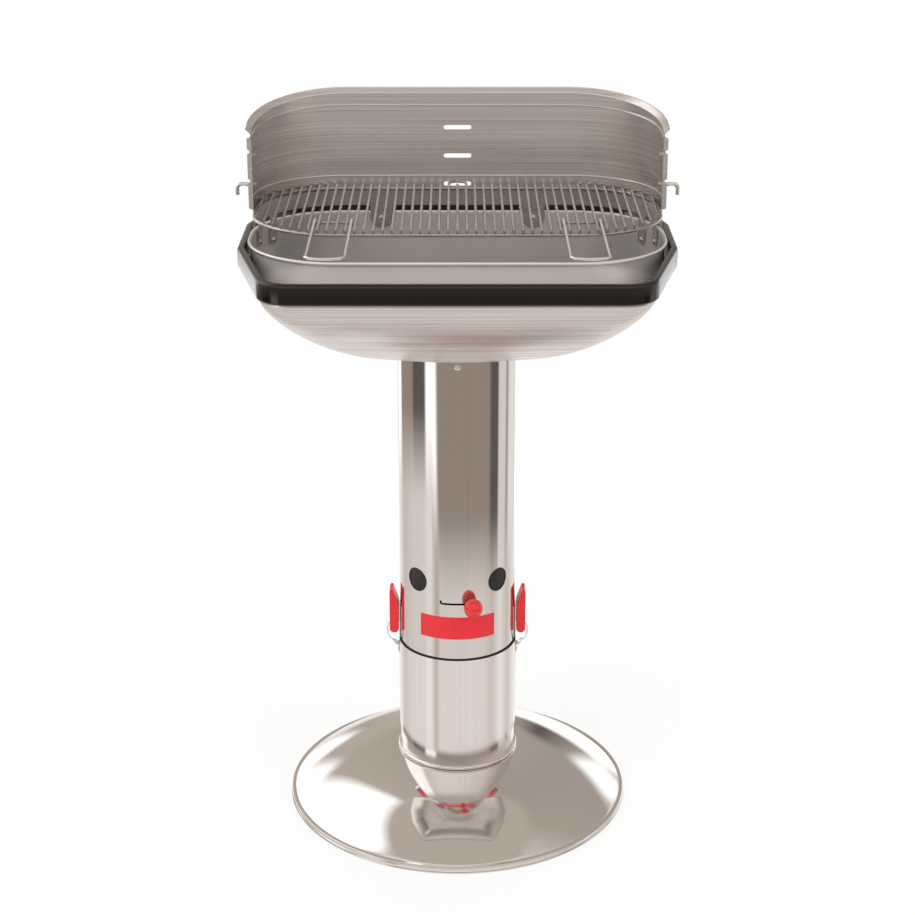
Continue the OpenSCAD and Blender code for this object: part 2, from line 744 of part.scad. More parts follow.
module fire_ring() {
    color(steel) difference() {
        union() {
            translate([0, 0, ring_low_z])
                rounded_wall(ring_hw, ring_hd, ring_r, ring_wall, ring_lip_z - ring_low_z);
            translate([0, 0, ring_lip_z])
                wire_loop(ring_hw + lip_offset, ring_hd + lip_offset, ring_r + lip_offset, ring_lip_r);
        }
        difference() {
            translate([-ring_hw - over, -ring_hd - over, ring_low_z - over])
                cube([2 * (ring_hw + over), 2 * (ring_hd + over), ring_end_z - ring_low_z + over]);
            translate([0, 0, ring_low_z + ring_cut_r]) rotate([90, 0, 0])
                cylinder(r = ring_cut_r, h = 2 * (ring_hd + 2 * over), center = true, $fn = 2 * $fn);
        }
        bolt_holes(over);
    }
}

// Frame wire of the charcoal grate, which rests on the bowl's sides
module charcoal_frame() {
    color(dark) translate([0, 0, grate_z]) wire_loop(grate_hw, grate_hd, grate_r, grate_wire_r);
}

// Half depth of a rounded rectangle at a place across it
function loop_depth(x, hw, hd, r) = abs(x) <= hw - r ? hd
    : hd - r + sqrt(pow(r, 2) - pow(abs(x) - hw + r, 2));

module charcoal_rods() {
    color(dark) translate([0, 0, grate_z]) for (i = [-grate_count:grate_count]) let (
        x = i * grate_pitch, d = loop_depth(x, grate_hw, grate_hd, grate_r))
        translate([x, d, grate_rod_rise]) rotate([90, 0, 0])
            cylinder(r = grate_rod_r, h = 2 * d, $fn = small_fn);
}

// Everything above the sloping top edge
module above_slope() {
    translate([0, 0, screen_front_z]) rotate([screen_slope, 0, 0])
        translate([-screen_tall, -screen_tall, 0]) cube(2 * screen_tall);
}

// The layers that the two beads stand out in
module bead_layers() {
    translate([0, 0, screen_front_z - bead_front_drop]) rotate([bead_slope, 0, 0])
        translate([-screen_tall, -screen_tall, -bead_w]) cube([2 * screen_tall, 2 * screen_tall, bead_w]);
    translate([-screen_tall, -screen_tall, bead_z - bead_w / 2])
        cube([2 * screen_tall, 2 * screen_tall, bead_w]);
}

// The back half of the plan, where the windscreen stands
module back_half() {
    translate([-screen_tall, 0, 0]) cube([2 * screen_tall, screen_tall, 2 * screen_tall]);
}

// A mounting bolt on the windscreen's corner arc: place, direction, height and the tab's radius
function side_bolt(side, a, z) = [side * (screen_hw - screen_r + screen_r * cos(a)),
    screen_hd - screen_r + screen_r * sin(a), side > 0 ? a : 180 - a, z, side_tab_r];
bolt_places = [
    [tab_x, screen_hd, 90, bolt_z, back_tab_r],
    [-tab_x, screen_hd, 90, bolt_z, back_tab_r],
    for (s = [-1, 1]) each [side_bolt(s, front_bolt_angle, front_bolt_z),
        side_bolt(s, rear_bolt_angle, rear_bolt_z)]];

// Distance from the windscreen's outer face to the fire ring's outer face along a bolt
function ring_step(b) = (ring_hw - screen_hw - ring_r + screen_r) * abs(cos(b[2]))
    + (ring_hd - screen_hd - ring_r + screen_r) * sin(b[2]) + ring_r - screen_r;

// Carries its children to a mounting bolt, with Z pointing outward and X pointing down
module at_bolt(b) {
    translate([b[0], b[1], b[3]]) rotate([0, 0, b[2]]) rotate([0, 90, 0]) children();
}

module bolt_holes(reach) {
    for (b = bolt_places) at_bolt(b) translate([0, 0, -screen_wall - reach])
        cylinder(r = bolt_r + run_gap, h = screen_wall + 2 * reach + ring_step(b), $fn = small_fn);
}

module windscreen() {
    color(steel) difference() {
        union() {
            intersection() {
                translate([0, 0, screen_z])
                    rounded_wall(screen_hw, screen_hd, screen_r, screen_wall, screen_tall - screen_z);
                back_half();
            }
            intersection() {
                translate([0, 0, screen_z]) rounded_wall(screen_hw - screen_wall / 2,
                    screen_hd - screen_wall / 2, screen_r - screen_wall / 2,
                    screen_wall / 2 + bead_t, screen_tall - screen_z);
                back_half();
                bead_layers();
            }
            for (b = bolt_places) intersection() {
                translate([0, 0, b[3] - b[4]])
                    rounded_wall(screen_hw, screen_hd, screen_r, screen_wall,
                        screen_z - b[3] + b[4] + weld);
                at_bolt(b) screen_tab(b[4]);
            }
        }
        above_slope();
        for (z = levels) translate([0, screen_hd, z + slot_rise]) rotate([90, 0, 0])
            translate([0, 0, -over]) linear_extrude(2 * over + screen_wall) {
                square([grid_slot_w - grid_slot_h, grid_slot_h], center = true);
                for (s = [-1, 1]) translate([s * (grid_slot_w - grid_slot_h) / 2, 0])
                    circle(grid_slot_h / 2, $fn = small_fn);
            }
        bolt_holes(over);
    }
}

// A round-ended tab that hangs from the windscreen's lower edge and takes a bolt
module screen_tab(r) {
    translate([0, 0, -2 * back_tab_r]) linear_extrude(3 * back_tab_r) {
        circle(r);
        translate([-4 * back_tab_r, -r]) square([4 * back_tab_r, 2 * r]);
    }
}

// A turned-out front edge of the windscreen, with its notches, and the lugs that carry the grid
module screen_edge(side) {
    color(steel) on_side(side) {
        difference() {
            translate([screen_hw + lap_gap, 0, flange_low_z])
                cube([flange_w - lap_gap, flange_t, screen_front_z - flange_low_z]);
            for (z = levels) translate([screen_hw + flange_w, -over, z - grid_z + frame_z])
                rotate([-90, 0, 0]) linear_extrude(flange_t + 2 * over)
                    polygon([[over, -notch_h / 2], [-notch_d, -notch_h / 6],
                        [-notch_d, notch_h / 6], [over, notch_h / 2]]);
            translate([screen_hw + flange_w, -over, screen_front_z]) rotate([-90, 0, 0])
                cylinder(r = flange_w, h = flange_t + 2 * over, $fn = small_fn);
        }
        for (z = levels) translate([screen_hw - screen_wall - lap_gap - lug_reach, 0,
            z - grid_z + frame_z - frame_wire_r - seat_gap - lug_t])
            cube([lug_reach, lug_d, lug_t]);
    }
}

module screen_edge_left() { screen_edge(-1); }
module screen_edge_right() { screen_edge(1); }

// The windscreen's plan as stations: each is a point, and the direction that points outward there
screen_stations = concat([[[screen_hw, 0], [1, 0]]],
    [for (q = [0, 1], k = [0:hem_steps]) let (u = unit(90 * (q + k / hem_steps)))
        [[(q > 0 ? -1 : 1) * (screen_hw - screen_r), screen_hd - screen_r] + u * screen_r, u]],
    [[[-screen_hw, 0], [-1, 0]]]);

// The flared rim on the windscreen's sloping top edge, with a bead along its outer edge
module screen_rim() {
    color(steel) loft([for (s = screen_stations) let (z = screen_front_z + lap_gap
        + s[0][1] * (screen_back_z - screen_front_z) / screen_hd)
        [for (p = concat([[-screen_wall, 0]], hem_shares * hem_w, [[-screen_wall, hem_t]]))
            let (q = s[0] + s[1] * p[0]) [q[0], q[1], z + p[1]]]], false);
}

module screen_bolts() {
    color(bright) for (b = bolt_places) at_bolt(b) {
        translate([0, 0, -screen_wall - weld])
            cylinder(r = bolt_r, h = screen_wall + weld + ring_step(b) + nut_h + bolt_tail, $fn = small_fn);
        translate([0, 0, -screen_wall - sag(bolt_head_r, screen_r)]) mirror([0, 0, 1])
            dome(bolt_head_r, bolt_head_h);
    }
}

module screen_nuts() {
    color(bright) for (b = bolt_places) at_bolt(b) translate([0, 0, ring_step(b) + lap_gap]) difference() {
        cylinder(r = nut_r, h = nut_h, $fn = 6);
        translate([0, 0, -over]) cylinder(r = bolt_r + run_gap, h = nut_h + 2 * over, $fn = small_fn);
    }
}

// A rod hook on the outside of the windscreen for the cook's tools
module utensil_hook(side) {
    bend_r = 2 * hook_rod_r;
    color(bright) on_side(side) translate([screen_hw + lap_gap, 3 * hook_rod_r, hook_z]) {
        rotate([0, 90, 0]) cylinder(r = hook_rod_r, h = hook_reach - bend_r, $fn = small_fn);
        translate([hook_reach - bend_r, 0, -bend_r]) rotate([90, 0, 0])
            rotate_extrude(angle = 90) translate([bend_r, 0]) circle(hook_rod_r, $fn = small_fn);
        translate([hook_reach, 0, -hook_drop])
            cylinder(r = hook_rod_r, h = hook_drop - bend_r, $fn = small_fn);
    }
}

module hook_left() { utensil_hook(-1); }
module hook_right() { utensil_hook(1); }

module grid_frame() {
    color(wire) translate([0, 0, frame_z]) wire_loop(grid_hw, grid_hd, grid_r, frame_wire_r);
}

module grid_rods() {
    color(wire) for (i = [-rod_count:rod_count]) if (abs(i) != 1) let (
        x = i * rod_pitch, d = loop_depth(x, grid_hw, grid_hd, grid_r) + rod_over)
        translate([x, d, grid_z]) rotate([90, 0, 0]) cylinder(r = rod_r, h = 2 * d, $fn = small_fn);
}

// The bent rod whose back loop goes through a slot of the windscreen
module grid_loop() {
    front = loop_depth(rod_pitch, grid_hw, grid_hd, grid_r) + rod_over;
    color(wire) translate([0, loop_y, grid_z]) {
        for (s = [-1, 1]) translate([s * rod_pitch, 0, 0]) rotate([90, 0, 0])
            cylinder(r = rod_r, h = front + loop_y, $fn = small_fn);
        rotate_extrude(angle = 180) translate([rod_pitch, 0]) circle(rod_r, $fn = small_fn);
    }
}

module grid_crosswires() {
    color(wire) for (s = [-1, 1])
        translate([s * handle_x, -cross_y, cross_z]) rotate([0, 90, 0])
            cylinder(r = cross_r, h = 2 * (handle_half + cross_over), center = true, $fn = small_fn);
}

// A round wire through stations, each with its centre and the two directions of its section
module wire_sweep(stations, r) {
    loft([for (s = stations) [for (k = [0:wire_sides - 1]) let (t = 360 * k / wire_sides)
        s[0] + s[1] * r * cos(t) + s[2] * r * sin(t)]], false);
}

// The stations of a handle's eye, from angle a to angle b past its top
function eye_stations(x, way, a, b) = [for (k = [0:eye_steps]) let (
    t = a + (b - a) * k / eye_steps, out = [0, sin(t), cos(t)])
    [[x, -cross_y, cross_z] + out * eye_r, [way, 0, 0], out]];

// The stations of a level arc that turns from heading a to heading b
function arc_stations(centre, r, a, b, steps) = [for (k = [0:steps]) let (
    t = a + (b - a) * k / steps, out = [cos(t), sin(t), 0])
    [[centre[0], centre[1], handle_z] + out * r, -out, [0, 0, 1]]];

// A wire handle: an eye on the cross-wire, a leg, a bowed end, a leg and an eye
module wire_handle(side) {
    turn = 90 - handle_bow_angle;
    bow_r = (handle_half - handle_corner_r) / sin(handle_bow_angle) + handle_corner_r;
    bow_y = -handle_reach + (bow_r - handle_corner_r) * cos(handle_bow_angle);
    corner_x = handle_half - handle_corner_r;
    color(bright) translate([side * handle_x, 0, 0]) wire_sweep(concat(
        eye_stations(-handle_half, 1, eye_turn, 0),
        arc_stations([-corner_x, -handle_reach], handle_corner_r, 180, 180 + turn, corner_steps),
        arc_stations([0, bow_y], bow_r, 270 - handle_bow_angle + bow_skip,
            270 + handle_bow_angle - bow_skip, bow_steps),
        arc_stations([corner_x, -handle_reach], handle_corner_r, 360 - turn, 360, corner_steps),
        eye_stations(handle_half, -1, 0, eye_turn)), handle_wire_r);
}

module handle_left() { wire_handle(-1); }
module handle_right() { wire_handle(1); }

// The springy open band inside the column; its holes meet the vents when it is turned
module damper_ring() {
    color(dark) difference() {
        translate([0, 0, damper_z]) rotate([0, 0, 90 + damper_split_angle / 2])
            rotate_extrude(angle = 360 - damper_split_angle)
                translate([damper_r - damper_wall, 0]) square([damper_wall, damper_h]);
        for (a = [-vent_angle, vent_angle, 180 - vent_angle, 180 + vent_angle])
            radial(a + damper_travel, damper_r / 2, damper_r + over, vent_r - seat_gap, vent_z, $fn);
        radial(lever_angle, damper_r - damper_wall - over, damper_r + over, lever_rivet_r + run_gap,
            lever_z + lever_leg_h - lever_w / 2);
    }
}

// Inner face of the damper's band behind the lever's flat leg
leg_r = damper_r - damper_wall - lap_gap - sag(lever_w / 2, damper_r - damper_wall);

module damper_lever() {
    color(bright) rotate([0, 0, lever_angle - 90]) difference() {
        union() {
            translate([leg_r - lever_t, -lever_w / 2, lever_z]) cube([lever_t, lever_w, lever_leg_h]);
            translate([leg_r - lever_t, -lever_w / 2, lever_z])
                cube([knob_centre_r - leg_r + lever_t, lever_w, lever_t]);
        }
        translate([leg_r - lever_t - over, 0, lever_z + lever_leg_h - lever_w / 2])
            rotate([0, 90, 0])
                cylinder(r = lever_rivet_r + run_gap, h = lever_t + 2 * over, $fn = small_fn);
    }
}

module damper_rivets() {
    color(bright) rotate([0, 0, lever_angle - 90])
        translate([leg_r - lever_t - lap_gap, 0, lever_z + lever_leg_h - lever_w / 2]) {
            translate([-weld, 0, 0]) rotate([0, 90, 0])
                cylinder(r = lever_rivet_r, h = damper_r - leg_r + lever_t + weld, $fn = small_fn);
            rotate([0, -90, 0])
                cylinder(r = lever_rivet_head_r, h = lever_rivet_head_h, $fn = small_fn);
        }
}

module damper_knob() {
    color(red) rotate([0, 0, lever_angle - 90]) translate([knob_centre_r, 0, lever_z + lever_t / 2])
        difference() {
            sphere(knob_r);
            translate([-knob_r - over, -lever_w / 2 - lap_gap, -lever_t / 2 - lap_gap])
                cube([knob_r + over + lap_gap, lever_w + 2 * lap_gap, lever_t + 2 * lap_gap]);
        }
}

// The latches are drawn for the right side, with X as the distance from the column's axis
module on_side(side) { mirror([side < 0 ? 1 : 0, 0, 0]) children(); }

// Turns a profile drawn in X and Z into a plate of the given half width about Y = 0
module plate_xz(half_w) {
    rotate([90, 0, 0]) translate([0, 0, -half_w]) linear_extrude(2 * half_w) children();
}

base_rivet_shares = [-0.6, 0.8];
base_rivet_heights = [for (share = base_rivet_shares) pivot_z + share * plate_low];
catch_rivet_share = 1.7;
catch_rivet_heights = [pot_rim_z - catch_rivet_share * catch_low];
plate_n = column_r + lap_gap;

module latch_base(side) {
    color(bright) on_side(side) difference() {
        union() {
            translate([plate_n, -grip_half_w, pivot_z - plate_low])
                cube([plate_t, 2 * grip_half_w, plate_low + plate_high]);
            for (s = [-1, 1]) translate([0, s * (ear_in + ear_t / 2), 0]) plate_xz(ear_t / 2) {
                translate([pivot_n, pivot_z]) circle(ear_r, $fn = small_fn);
                translate([plate_n + plate_t / 2, pivot_z - ear_r])
                    square([pivot_n - plate_n - plate_t / 2, 2 * ear_r]);
            }
        }
        latch_bore(pivot_n, pivot_z, run_gap);
        for (z = base_rivet_heights) translate([plate_n - over, 0, z]) rotate([0, 90, 0])
            cylinder(r = rivet_r + run_gap, h = plate_t + 2 * over, $fn = small_fn);
    }
}

// The hole, or with no clearance the pin, along Y at a latch's pivot
module latch_bore(n, z, gap) {
    translate([n, 0, z]) rotate([90, 0, 0])
        cylinder(r = pin_r + gap, h = 2 * (grip_half_w - seat_gap), center = true, $fn = small_fn);
}

module latch_pivot(side) {
    color(bright) on_side(side) translate([pivot_n, 0, pivot_z]) rotate([90, 0, 0])
        cylinder(r = pin_r, h = 2 * (grip_half_w - 2 * seat_gap), center = true, $fn = small_fn);
}

module latch_rivets(side) {
    color(bright) on_side(side) for (z = base_rivet_heights)
        translate([plate_n + plate_t + lap_gap, 0, z]) rotate([0, 90, 0]) {
            translate([0, 0, -plate_t - column_wall - 3 * lap_gap])
                cylinder(r = rivet_r, h = plate_t + column_wall + 3 * lap_gap + weld, $fn = small_fn);
            cylinder(r = rivet_head_r, h = rivet_head_h - 3 * lap_gap, $fn = small_fn);
        }
}

// Side outline of the grip: round at the pivot, with a finger space at its slanted top
module grip_outline() {
    top_z = pivot_z + grip_h;
    out_n = pivot_n + grip_end_r;
    in_n = pivot_n - grip_end_r;
    translate([pivot_n, pivot_z]) circle(grip_end_r);
    polygon([[in_n, pivot_z], [out_n, pivot_z], [out_n, top_z - grip_top_half],
        [out_n - grip_top_half / 2, top_z], [out_n - grip_tip_share * grip_top_half, top_z],
        [out_n - 2 * grip_top_half, top_z - grip_top_half / 2], [in_n, pivot_z + grip_slant_h]]);
}

module latch_grip(side) {
    color(red) on_side(side) difference() {
        plate_xz(grip_half_w) grip_outline();
        translate([0, -cheek_in, 0]) cube([2 * pivot_n, 2 * cheek_in, grip_open_z]);
        latch_bore(pivot_n, pivot_z, run_gap);
        latch_bore(link_n, link_z, run_gap);
    }
}

// Two steel plates that line the grip's cheeks and carry the pins
module latch_liners(side) {
    reach = grip_open_z - seat_gap - pivot_z;
    color(bright) on_side(side) for (s = [-1, 1]) difference() {
        translate([0, s * (liner_in + liner_t / 2), 0]) plate_xz(liner_t / 2) {
            translate([pivot_n, pivot_z]) circle(grip_end_r - liner_t);
            translate([pivot_n - grip_end_r + liner_t, pivot_z])
                square([2 * (grip_end_r - liner_t), reach]);
        }
        latch_bore(pivot_n, pivot_z, run_gap);
        latch_bore(link_n, link_z, run_gap);
    }
}

module latch_link_pin(side) {
    color(bright) on_side(side) translate([link_n, 0, link_z]) rotate([90, 0, 0])
        cylinder(r = pin_r, h = 2 * (grip_half_w - 2 * seat_gap), center = true, $fn = small_fn);
}

// The outline of a bent strip: out along one side of the path and back along the other
function strip_side(path, half) = [for (i = [0:len(path) - 1]) let (
    d = path[min(i + 1, len(path) - 1)] - path[max(i - 1, 0)])
    path[i] + [d[1], -d[0]] / norm(d) * half];
function strip_outline(path, t) = let (a = strip_side(path, t / 2), b = strip_side(path, -t / 2))
    concat(a, [for (i = [1:len(b)]) b[len(b) - i]]);

// The draw hook: an eye on the link pin, an arm that bows round the pivot and a nose under the catch
module draw_hook(side) {
    centre = [draw_centre_n, draw_centre_z];
    arc = [for (k = [0:draw_steps])
        centre + unit(draw_top_angle + (draw_low_angle - draw_top_angle) * k / draw_steps) * draw_r];
    leg_end = last(arc) + unit(draw_low_angle - 90) * draw_leg;
    color(bright) on_side(side) difference() {
        plate_xz(draw_half_w) {
            translate([link_n, link_z]) circle(draw_eye_r, $fn = small_fn);
            polygon(strip_outline(concat([[link_n, link_z]], arc, [leg_end]), draw_t));
            translate(leg_end - [nose_reach, draw_t / 2]) square([nose_reach + draw_t / 4, draw_t]);
        }
        latch_bore(link_n, link_z, run_gap);
    }
}

// Underside of the catch's lip, just above the draw hook's nose
nose_z = draw_centre_z + draw_r * sin(draw_low_angle) + draw_leg * sin(draw_low_angle - 90) + draw_t / 2;

module pot_catch(side) {
    plate_low_z = catch_rivet_heights[0] - rivet_head_r - catch_margin;
    color(bright) on_side(side) difference() {
        union() {
            translate([pot_r + lap_gap, -catch_half_w, plate_low_z])
                cube([catch_t, 2 * catch_half_w, nose_z + seat_gap + catch_t - plate_low_z]);
            translate([pot_r + lap_gap, -catch_half_w, nose_z + seat_gap])
                cube([catch_t + catch_lip, 2 * catch_half_w, catch_t]);
        }
        for (z = catch_rivet_heights) translate([pot_r - over, 0, z]) rotate([0, 90, 0])
            cylinder(r = rivet_r + run_gap, h = catch_t + 2 * over, $fn = small_fn);
    }
}

module catch_rivets() {
    color(bright) for (side = [-1, 1]) on_side(side) for (z = catch_rivet_heights)
        translate([pot_r + catch_t + 2 * lap_gap, 0, z]) rotate([0, 90, 0]) {
            translate([0, 0, -pot_wall - catch_t - 3 * lap_gap])
                cylinder(r = rivet_r, h = pot_wall + catch_t + 3 * lap_gap + weld, $fn = small_fn);
            cylinder(r = rivet_head_r, h = rivet_head_h, $fn = small_fn);
        }
}

module latch_base_left() { latch_base(-1); }
module latch_base_right() { latch_base(1); }
module latch_pivot_left() { latch_pivot(-1); }
module latch_pivot_right() { latch_pivot(1); }
module latch_rivets_left() { latch_rivets(-1); }
module latch_rivets_right() { latch_rivets(1); }
module latch_grip_left() { latch_grip(-1); }
module latch_grip_right() { latch_grip(1); }
module latch_liners_left() { latch_liners(-1); }
module latch_liners_right() { latch_liners(1); }
module latch_link_pin_left() { latch_link_pin(-1); }
module latch_link_pin_right() { latch_link_pin(1); }
module draw_hook_left() { draw_hook(-1); }
module draw_hook_right() { draw_hook(1); }
module pot_catch_left() { pot_catch(-1); }
module pot_catch_right() { pot_catch(1); }

base_dish();
foot_bolts();
foot_nuts();
ash_pot();
pot_seal();
column();
column_screws();
column_nuts();
label_plate();
bowl();
bowl_collar();
rim_guard();
fire_ring();
charcoal_frame();
charcoal_rods();
windscreen();
screen_edge_left();
screen_edge_right();
screen_rim();
screen_bolts();
screen_nuts();
hook_left();
hook_right();
grid_frame();
grid_rods();
grid_loop();
grid_crosswires();
handle_left();
handle_right();
damper_ring();
damper_lever();
damper_rivets();
damper_knob();
latch_base_left();
latch_base_right();
latch_pivot_left();
latch_pivot_right();
latch_rivets_left();
latch_rivets_right();
latch_grip_left();
latch_grip_right();
latch_liners_left();
latch_liners_right();
latch_link_pin_left();
latch_link_pin_right();
draw_hook_left();
draw_hook_right();
pot_catch_left();
pot_catch_right();
catch_rivets();
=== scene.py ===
import logging
import math
from dataclasses import dataclass, field
from enum import Enum
from functools import lru_cache
from typing import Sequence

import bmesh
import bpy
from mathutils import Matrix, Vector


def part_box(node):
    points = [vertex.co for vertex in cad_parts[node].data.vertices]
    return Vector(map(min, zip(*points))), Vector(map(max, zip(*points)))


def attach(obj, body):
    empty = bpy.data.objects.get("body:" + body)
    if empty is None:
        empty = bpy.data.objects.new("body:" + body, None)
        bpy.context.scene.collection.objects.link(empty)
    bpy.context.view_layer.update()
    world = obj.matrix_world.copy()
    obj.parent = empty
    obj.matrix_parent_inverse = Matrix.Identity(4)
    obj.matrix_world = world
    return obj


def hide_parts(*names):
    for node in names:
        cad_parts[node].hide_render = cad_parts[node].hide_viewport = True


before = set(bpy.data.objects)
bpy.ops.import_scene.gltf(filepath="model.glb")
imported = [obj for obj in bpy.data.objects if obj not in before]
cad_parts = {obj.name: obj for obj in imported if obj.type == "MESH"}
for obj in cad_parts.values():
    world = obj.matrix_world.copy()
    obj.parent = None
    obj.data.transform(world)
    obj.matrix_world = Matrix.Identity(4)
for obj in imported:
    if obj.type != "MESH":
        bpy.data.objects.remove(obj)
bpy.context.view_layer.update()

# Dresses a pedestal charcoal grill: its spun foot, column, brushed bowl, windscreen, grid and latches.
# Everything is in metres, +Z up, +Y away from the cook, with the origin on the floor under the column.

Colour = tuple[float, float, float]
Flat = tuple[float, float]
Ring = list[Vector]

log = logging.getLogger("grill")


class Slot(Enum):
    """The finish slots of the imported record."""

    POLISHED = "polished_steel"
    POT = "pot_steel"
    BRUSHED = "brushed_steel"
    RING = "ring_steel"
    GRID = "grid_wire"
    HANDLE = "handle_wire"
    CHARCOAL = "charcoal_iron"
    DAMPER = "damper_steel"
    LATCH = "latch_steel"
    FASTENER = "fastener_steel"
    GUARD = "guard_black"
    SEAL = "seal_black"
    GRIP = "grip_red"
    KNOB = "knob_red"
    LABEL = "label_red"


class Side(Enum):
    """Left and right as the cook sees the grill."""

    LEFT = -1
    RIGHT = 1

    @property
    def word(self) -> str:
        """The side's name as the frame's nodes write it."""
        return self.name.lower()


class Grain(Enum):
    """Which way a finish is streaked: the stretch of its noise along X, Y and Z, per metre."""

    LEVEL = (2.5, 2.5, 1150.0)
    UPRIGHT = (420.0, 420.0, 2.0)
    ROUND = (260.0, 260.0, 260.0)


class Tone(Enum):
    """The cloths of the studio's panels, from white to dark, as plain display colours."""

    WHITE = (255, 255, 255)
    CHALK = (246, 243, 240)
    IVORY = (230, 225, 220)
    STONE = (214, 206, 200)
    SAND = (196, 186, 176)
    CLAY = (184, 174, 164)
    DUN = (174, 167, 160)
    TAN = (158, 146, 136)
    SLATE = (100, 94, 90)


@lru_cache(maxsize=None)
def box(node: str) -> tuple[Vector, Vector]:
    """The low and high corners of a node's box, measured once for each node."""
    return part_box(node)


def linear(red: float, green: float, blue: float) -> Colour:
    """Turns a colour in display values from 0 to 255 into the linear values that the shaders take.

    Args:
        red: Display value of red.
        green: Display value of green.
        blue: Display value of blue.

    Returns:
        The three linear values.
    """
    def channel(value: float) -> float:
        """One display value as a linear value."""
        share = value / 255.0
        return share / 12.92 if share <= 0.04045 else ((share + 0.055) / 1.055) ** 2.4

    return channel(red), channel(green), channel(blue)


def mesh_of(name: str, shape: bmesh.types.BMesh) -> bpy.types.Mesh:
    """Turns a finished shape into a mesh.

    Args:
        name: Name of the mesh.
        shape: The shape, which is freed.

    Returns:
        The mesh.
    """
    mesh = bpy.data.meshes.new(name)
    shape.to_mesh(mesh)
    shape.free()
    return mesh


def linked(name: str, data: bpy.types.ID) -> bpy.types.Object:
    """Makes an object and links it into the scene.

    Args:
        name: Name of the object.
        data: Its mesh, lamp or camera.

    Returns:
        The object.
    """
    item = bpy.data.objects.new(name, data)
    bpy.context.scene.collection.objects.link(item)
    return item


class NodeSheet:
    """The node tree of one material, with short calls to add and wire nodes."""

    def __init__(self, name: str) -> None:
        """Starts an empty material.

        Args:
            name: Name of the material.
        """
        self.material = bpy.data.materials.new(name)
        self.material.use_nodes = True
        self.tree = self.material.node_tree
        self.tree.nodes.clear()

    def add(self, kind: str, inputs: dict | None = None, **settings: object) -> bpy.types.Node:
        """Adds a node.

        Args:
            kind: Blender's name of the node type.
            inputs: Values or output sockets for the node's inputs, by name or number.
            settings: Properties of the node itself.

        Returns:
            The new node.
        """
        node = self.tree.nodes.new(kind)
        for key, value in settings.items():
            setattr(node, key, value)
        for key, value in (inputs or {}).items():
            if isinstance(value, bpy.types.NodeSocket):
                self.tree.links.new(value, node.inputs[key])
            else:
                node.inputs[key].default_value = value
        return node

    def noise(self, stretch: Sequence[float], detail: float = 4.0,
              soft: float = 0.55) -> bpy.types.NodeSocket:
        """A noise in the object's own space.

        Args:
            stretch: Scale of the noise along X, Y and Z, per metre.
            detail: Octaves of the noise.
            soft: Roughness of the octaves.

        Returns:
            The noise value's socket.
        """
        place = self.add("ShaderNodeTexCoord")
        mapping = self.add("ShaderNodeMapping", {"Vector": place.outputs["Object"], "Scale": tuple(stretch)})
        cloud = self.add("ShaderNodeTexNoise", {
            "Vector": mapping.outputs["Vector"], "Scale": 1.0, "Detail": detail, "Roughness": soft})
        return cloud.outputs["Fac"]

    def ranged(self, value: bpy.types.NodeSocket, low: float, high: float,
               start: float = 0.3, stop: float = 0.7) -> bpy.types.NodeSocket:
        """Maps a value from its usual range to another.

        Args:
            value: The socket to map.
            low: Result at the range's start.
            high: Result at the range's end.
            start: Start of the incoming range.
            stop: End of the incoming range.

        Returns:
            The mapped value's socket.
        """
        node = self.add("ShaderNodeMapRange", {
            "Value": value, "From Min": start, "From Max": stop, "To Min": low, "To Max": high})
        return node.outputs["Result"]

    def blend(self, share: object, first: object, second: object) -> bpy.types.NodeSocket:
        """Mixes two colours.

        Args:
            share: Share of the second colour, as a value or a socket.
            first: First colour, as linear values or a socket.
            second: Second colour, as linear values or a socket.

        Returns:
            The mixed colour's socket.
        """
        def full(colour: object) -> object:
            """A colour with its alpha, or the socket as it is."""
            return colour if isinstance(colour, bpy.types.NodeSocket) else (*colour, 1.0)

        node = self.add("ShaderNodeMix", {0: share, 6: full(first), 7: full(second)}, data_type="RGBA")
        return node.outputs[2]

    def bump(self, height: bpy.types.NodeSocket, distance: float,
             under: bpy.types.NodeSocket | None = None) -> bpy.types.NodeSocket:
        """A bump from a height.

        Args:
            height: The height's socket.
            distance: Depth of the relief in metres.
            under: A normal that the relief adds to.

        Returns:
            The normal's socket.
        """
        inputs = {"Height": height, "Distance": distance, "Strength": 1.0}
        if under is not None:
            inputs["Normal"] = under
        return self.add("ShaderNodeBump", inputs).outputs["Normal"]

    def finish(self, **inputs: object) -> bpy.types.Material:
        """Closes the sheet with a Principled shader.

        Args:
            inputs: The shader's inputs, with underscores for spaces.

        Returns:
            The finished material.
        """
        shader = self.add("ShaderNodeBsdfPrincipled", {
            key.replace("_", " "): value for key, value in inputs.items()})
        self.close(shader.outputs["BSDF"])
        return self.material

    def close(self, surface: bpy.types.NodeSocket) -> None:
        """Wires a shader to the material's output.

        Args:
            surface: The shader's socket.
        """
        self.add("ShaderNodeOutputMaterial", {"Surface": surface})


@dataclass(frozen=True)
class Finish:
    """What every finish has.

    Attributes:
        name: Name of the material.
        colour: Main colour, linear.
        shade: Colour of the darker patches and streaks, linear.
        rough: Lowest and highest roughness.
    """

    name: str
    colour: Colour
    shade: Colour
    rough: Flat

    def build(self) -> bpy.types.Material:
        """Builds the material."""
        raise NotImplementedError


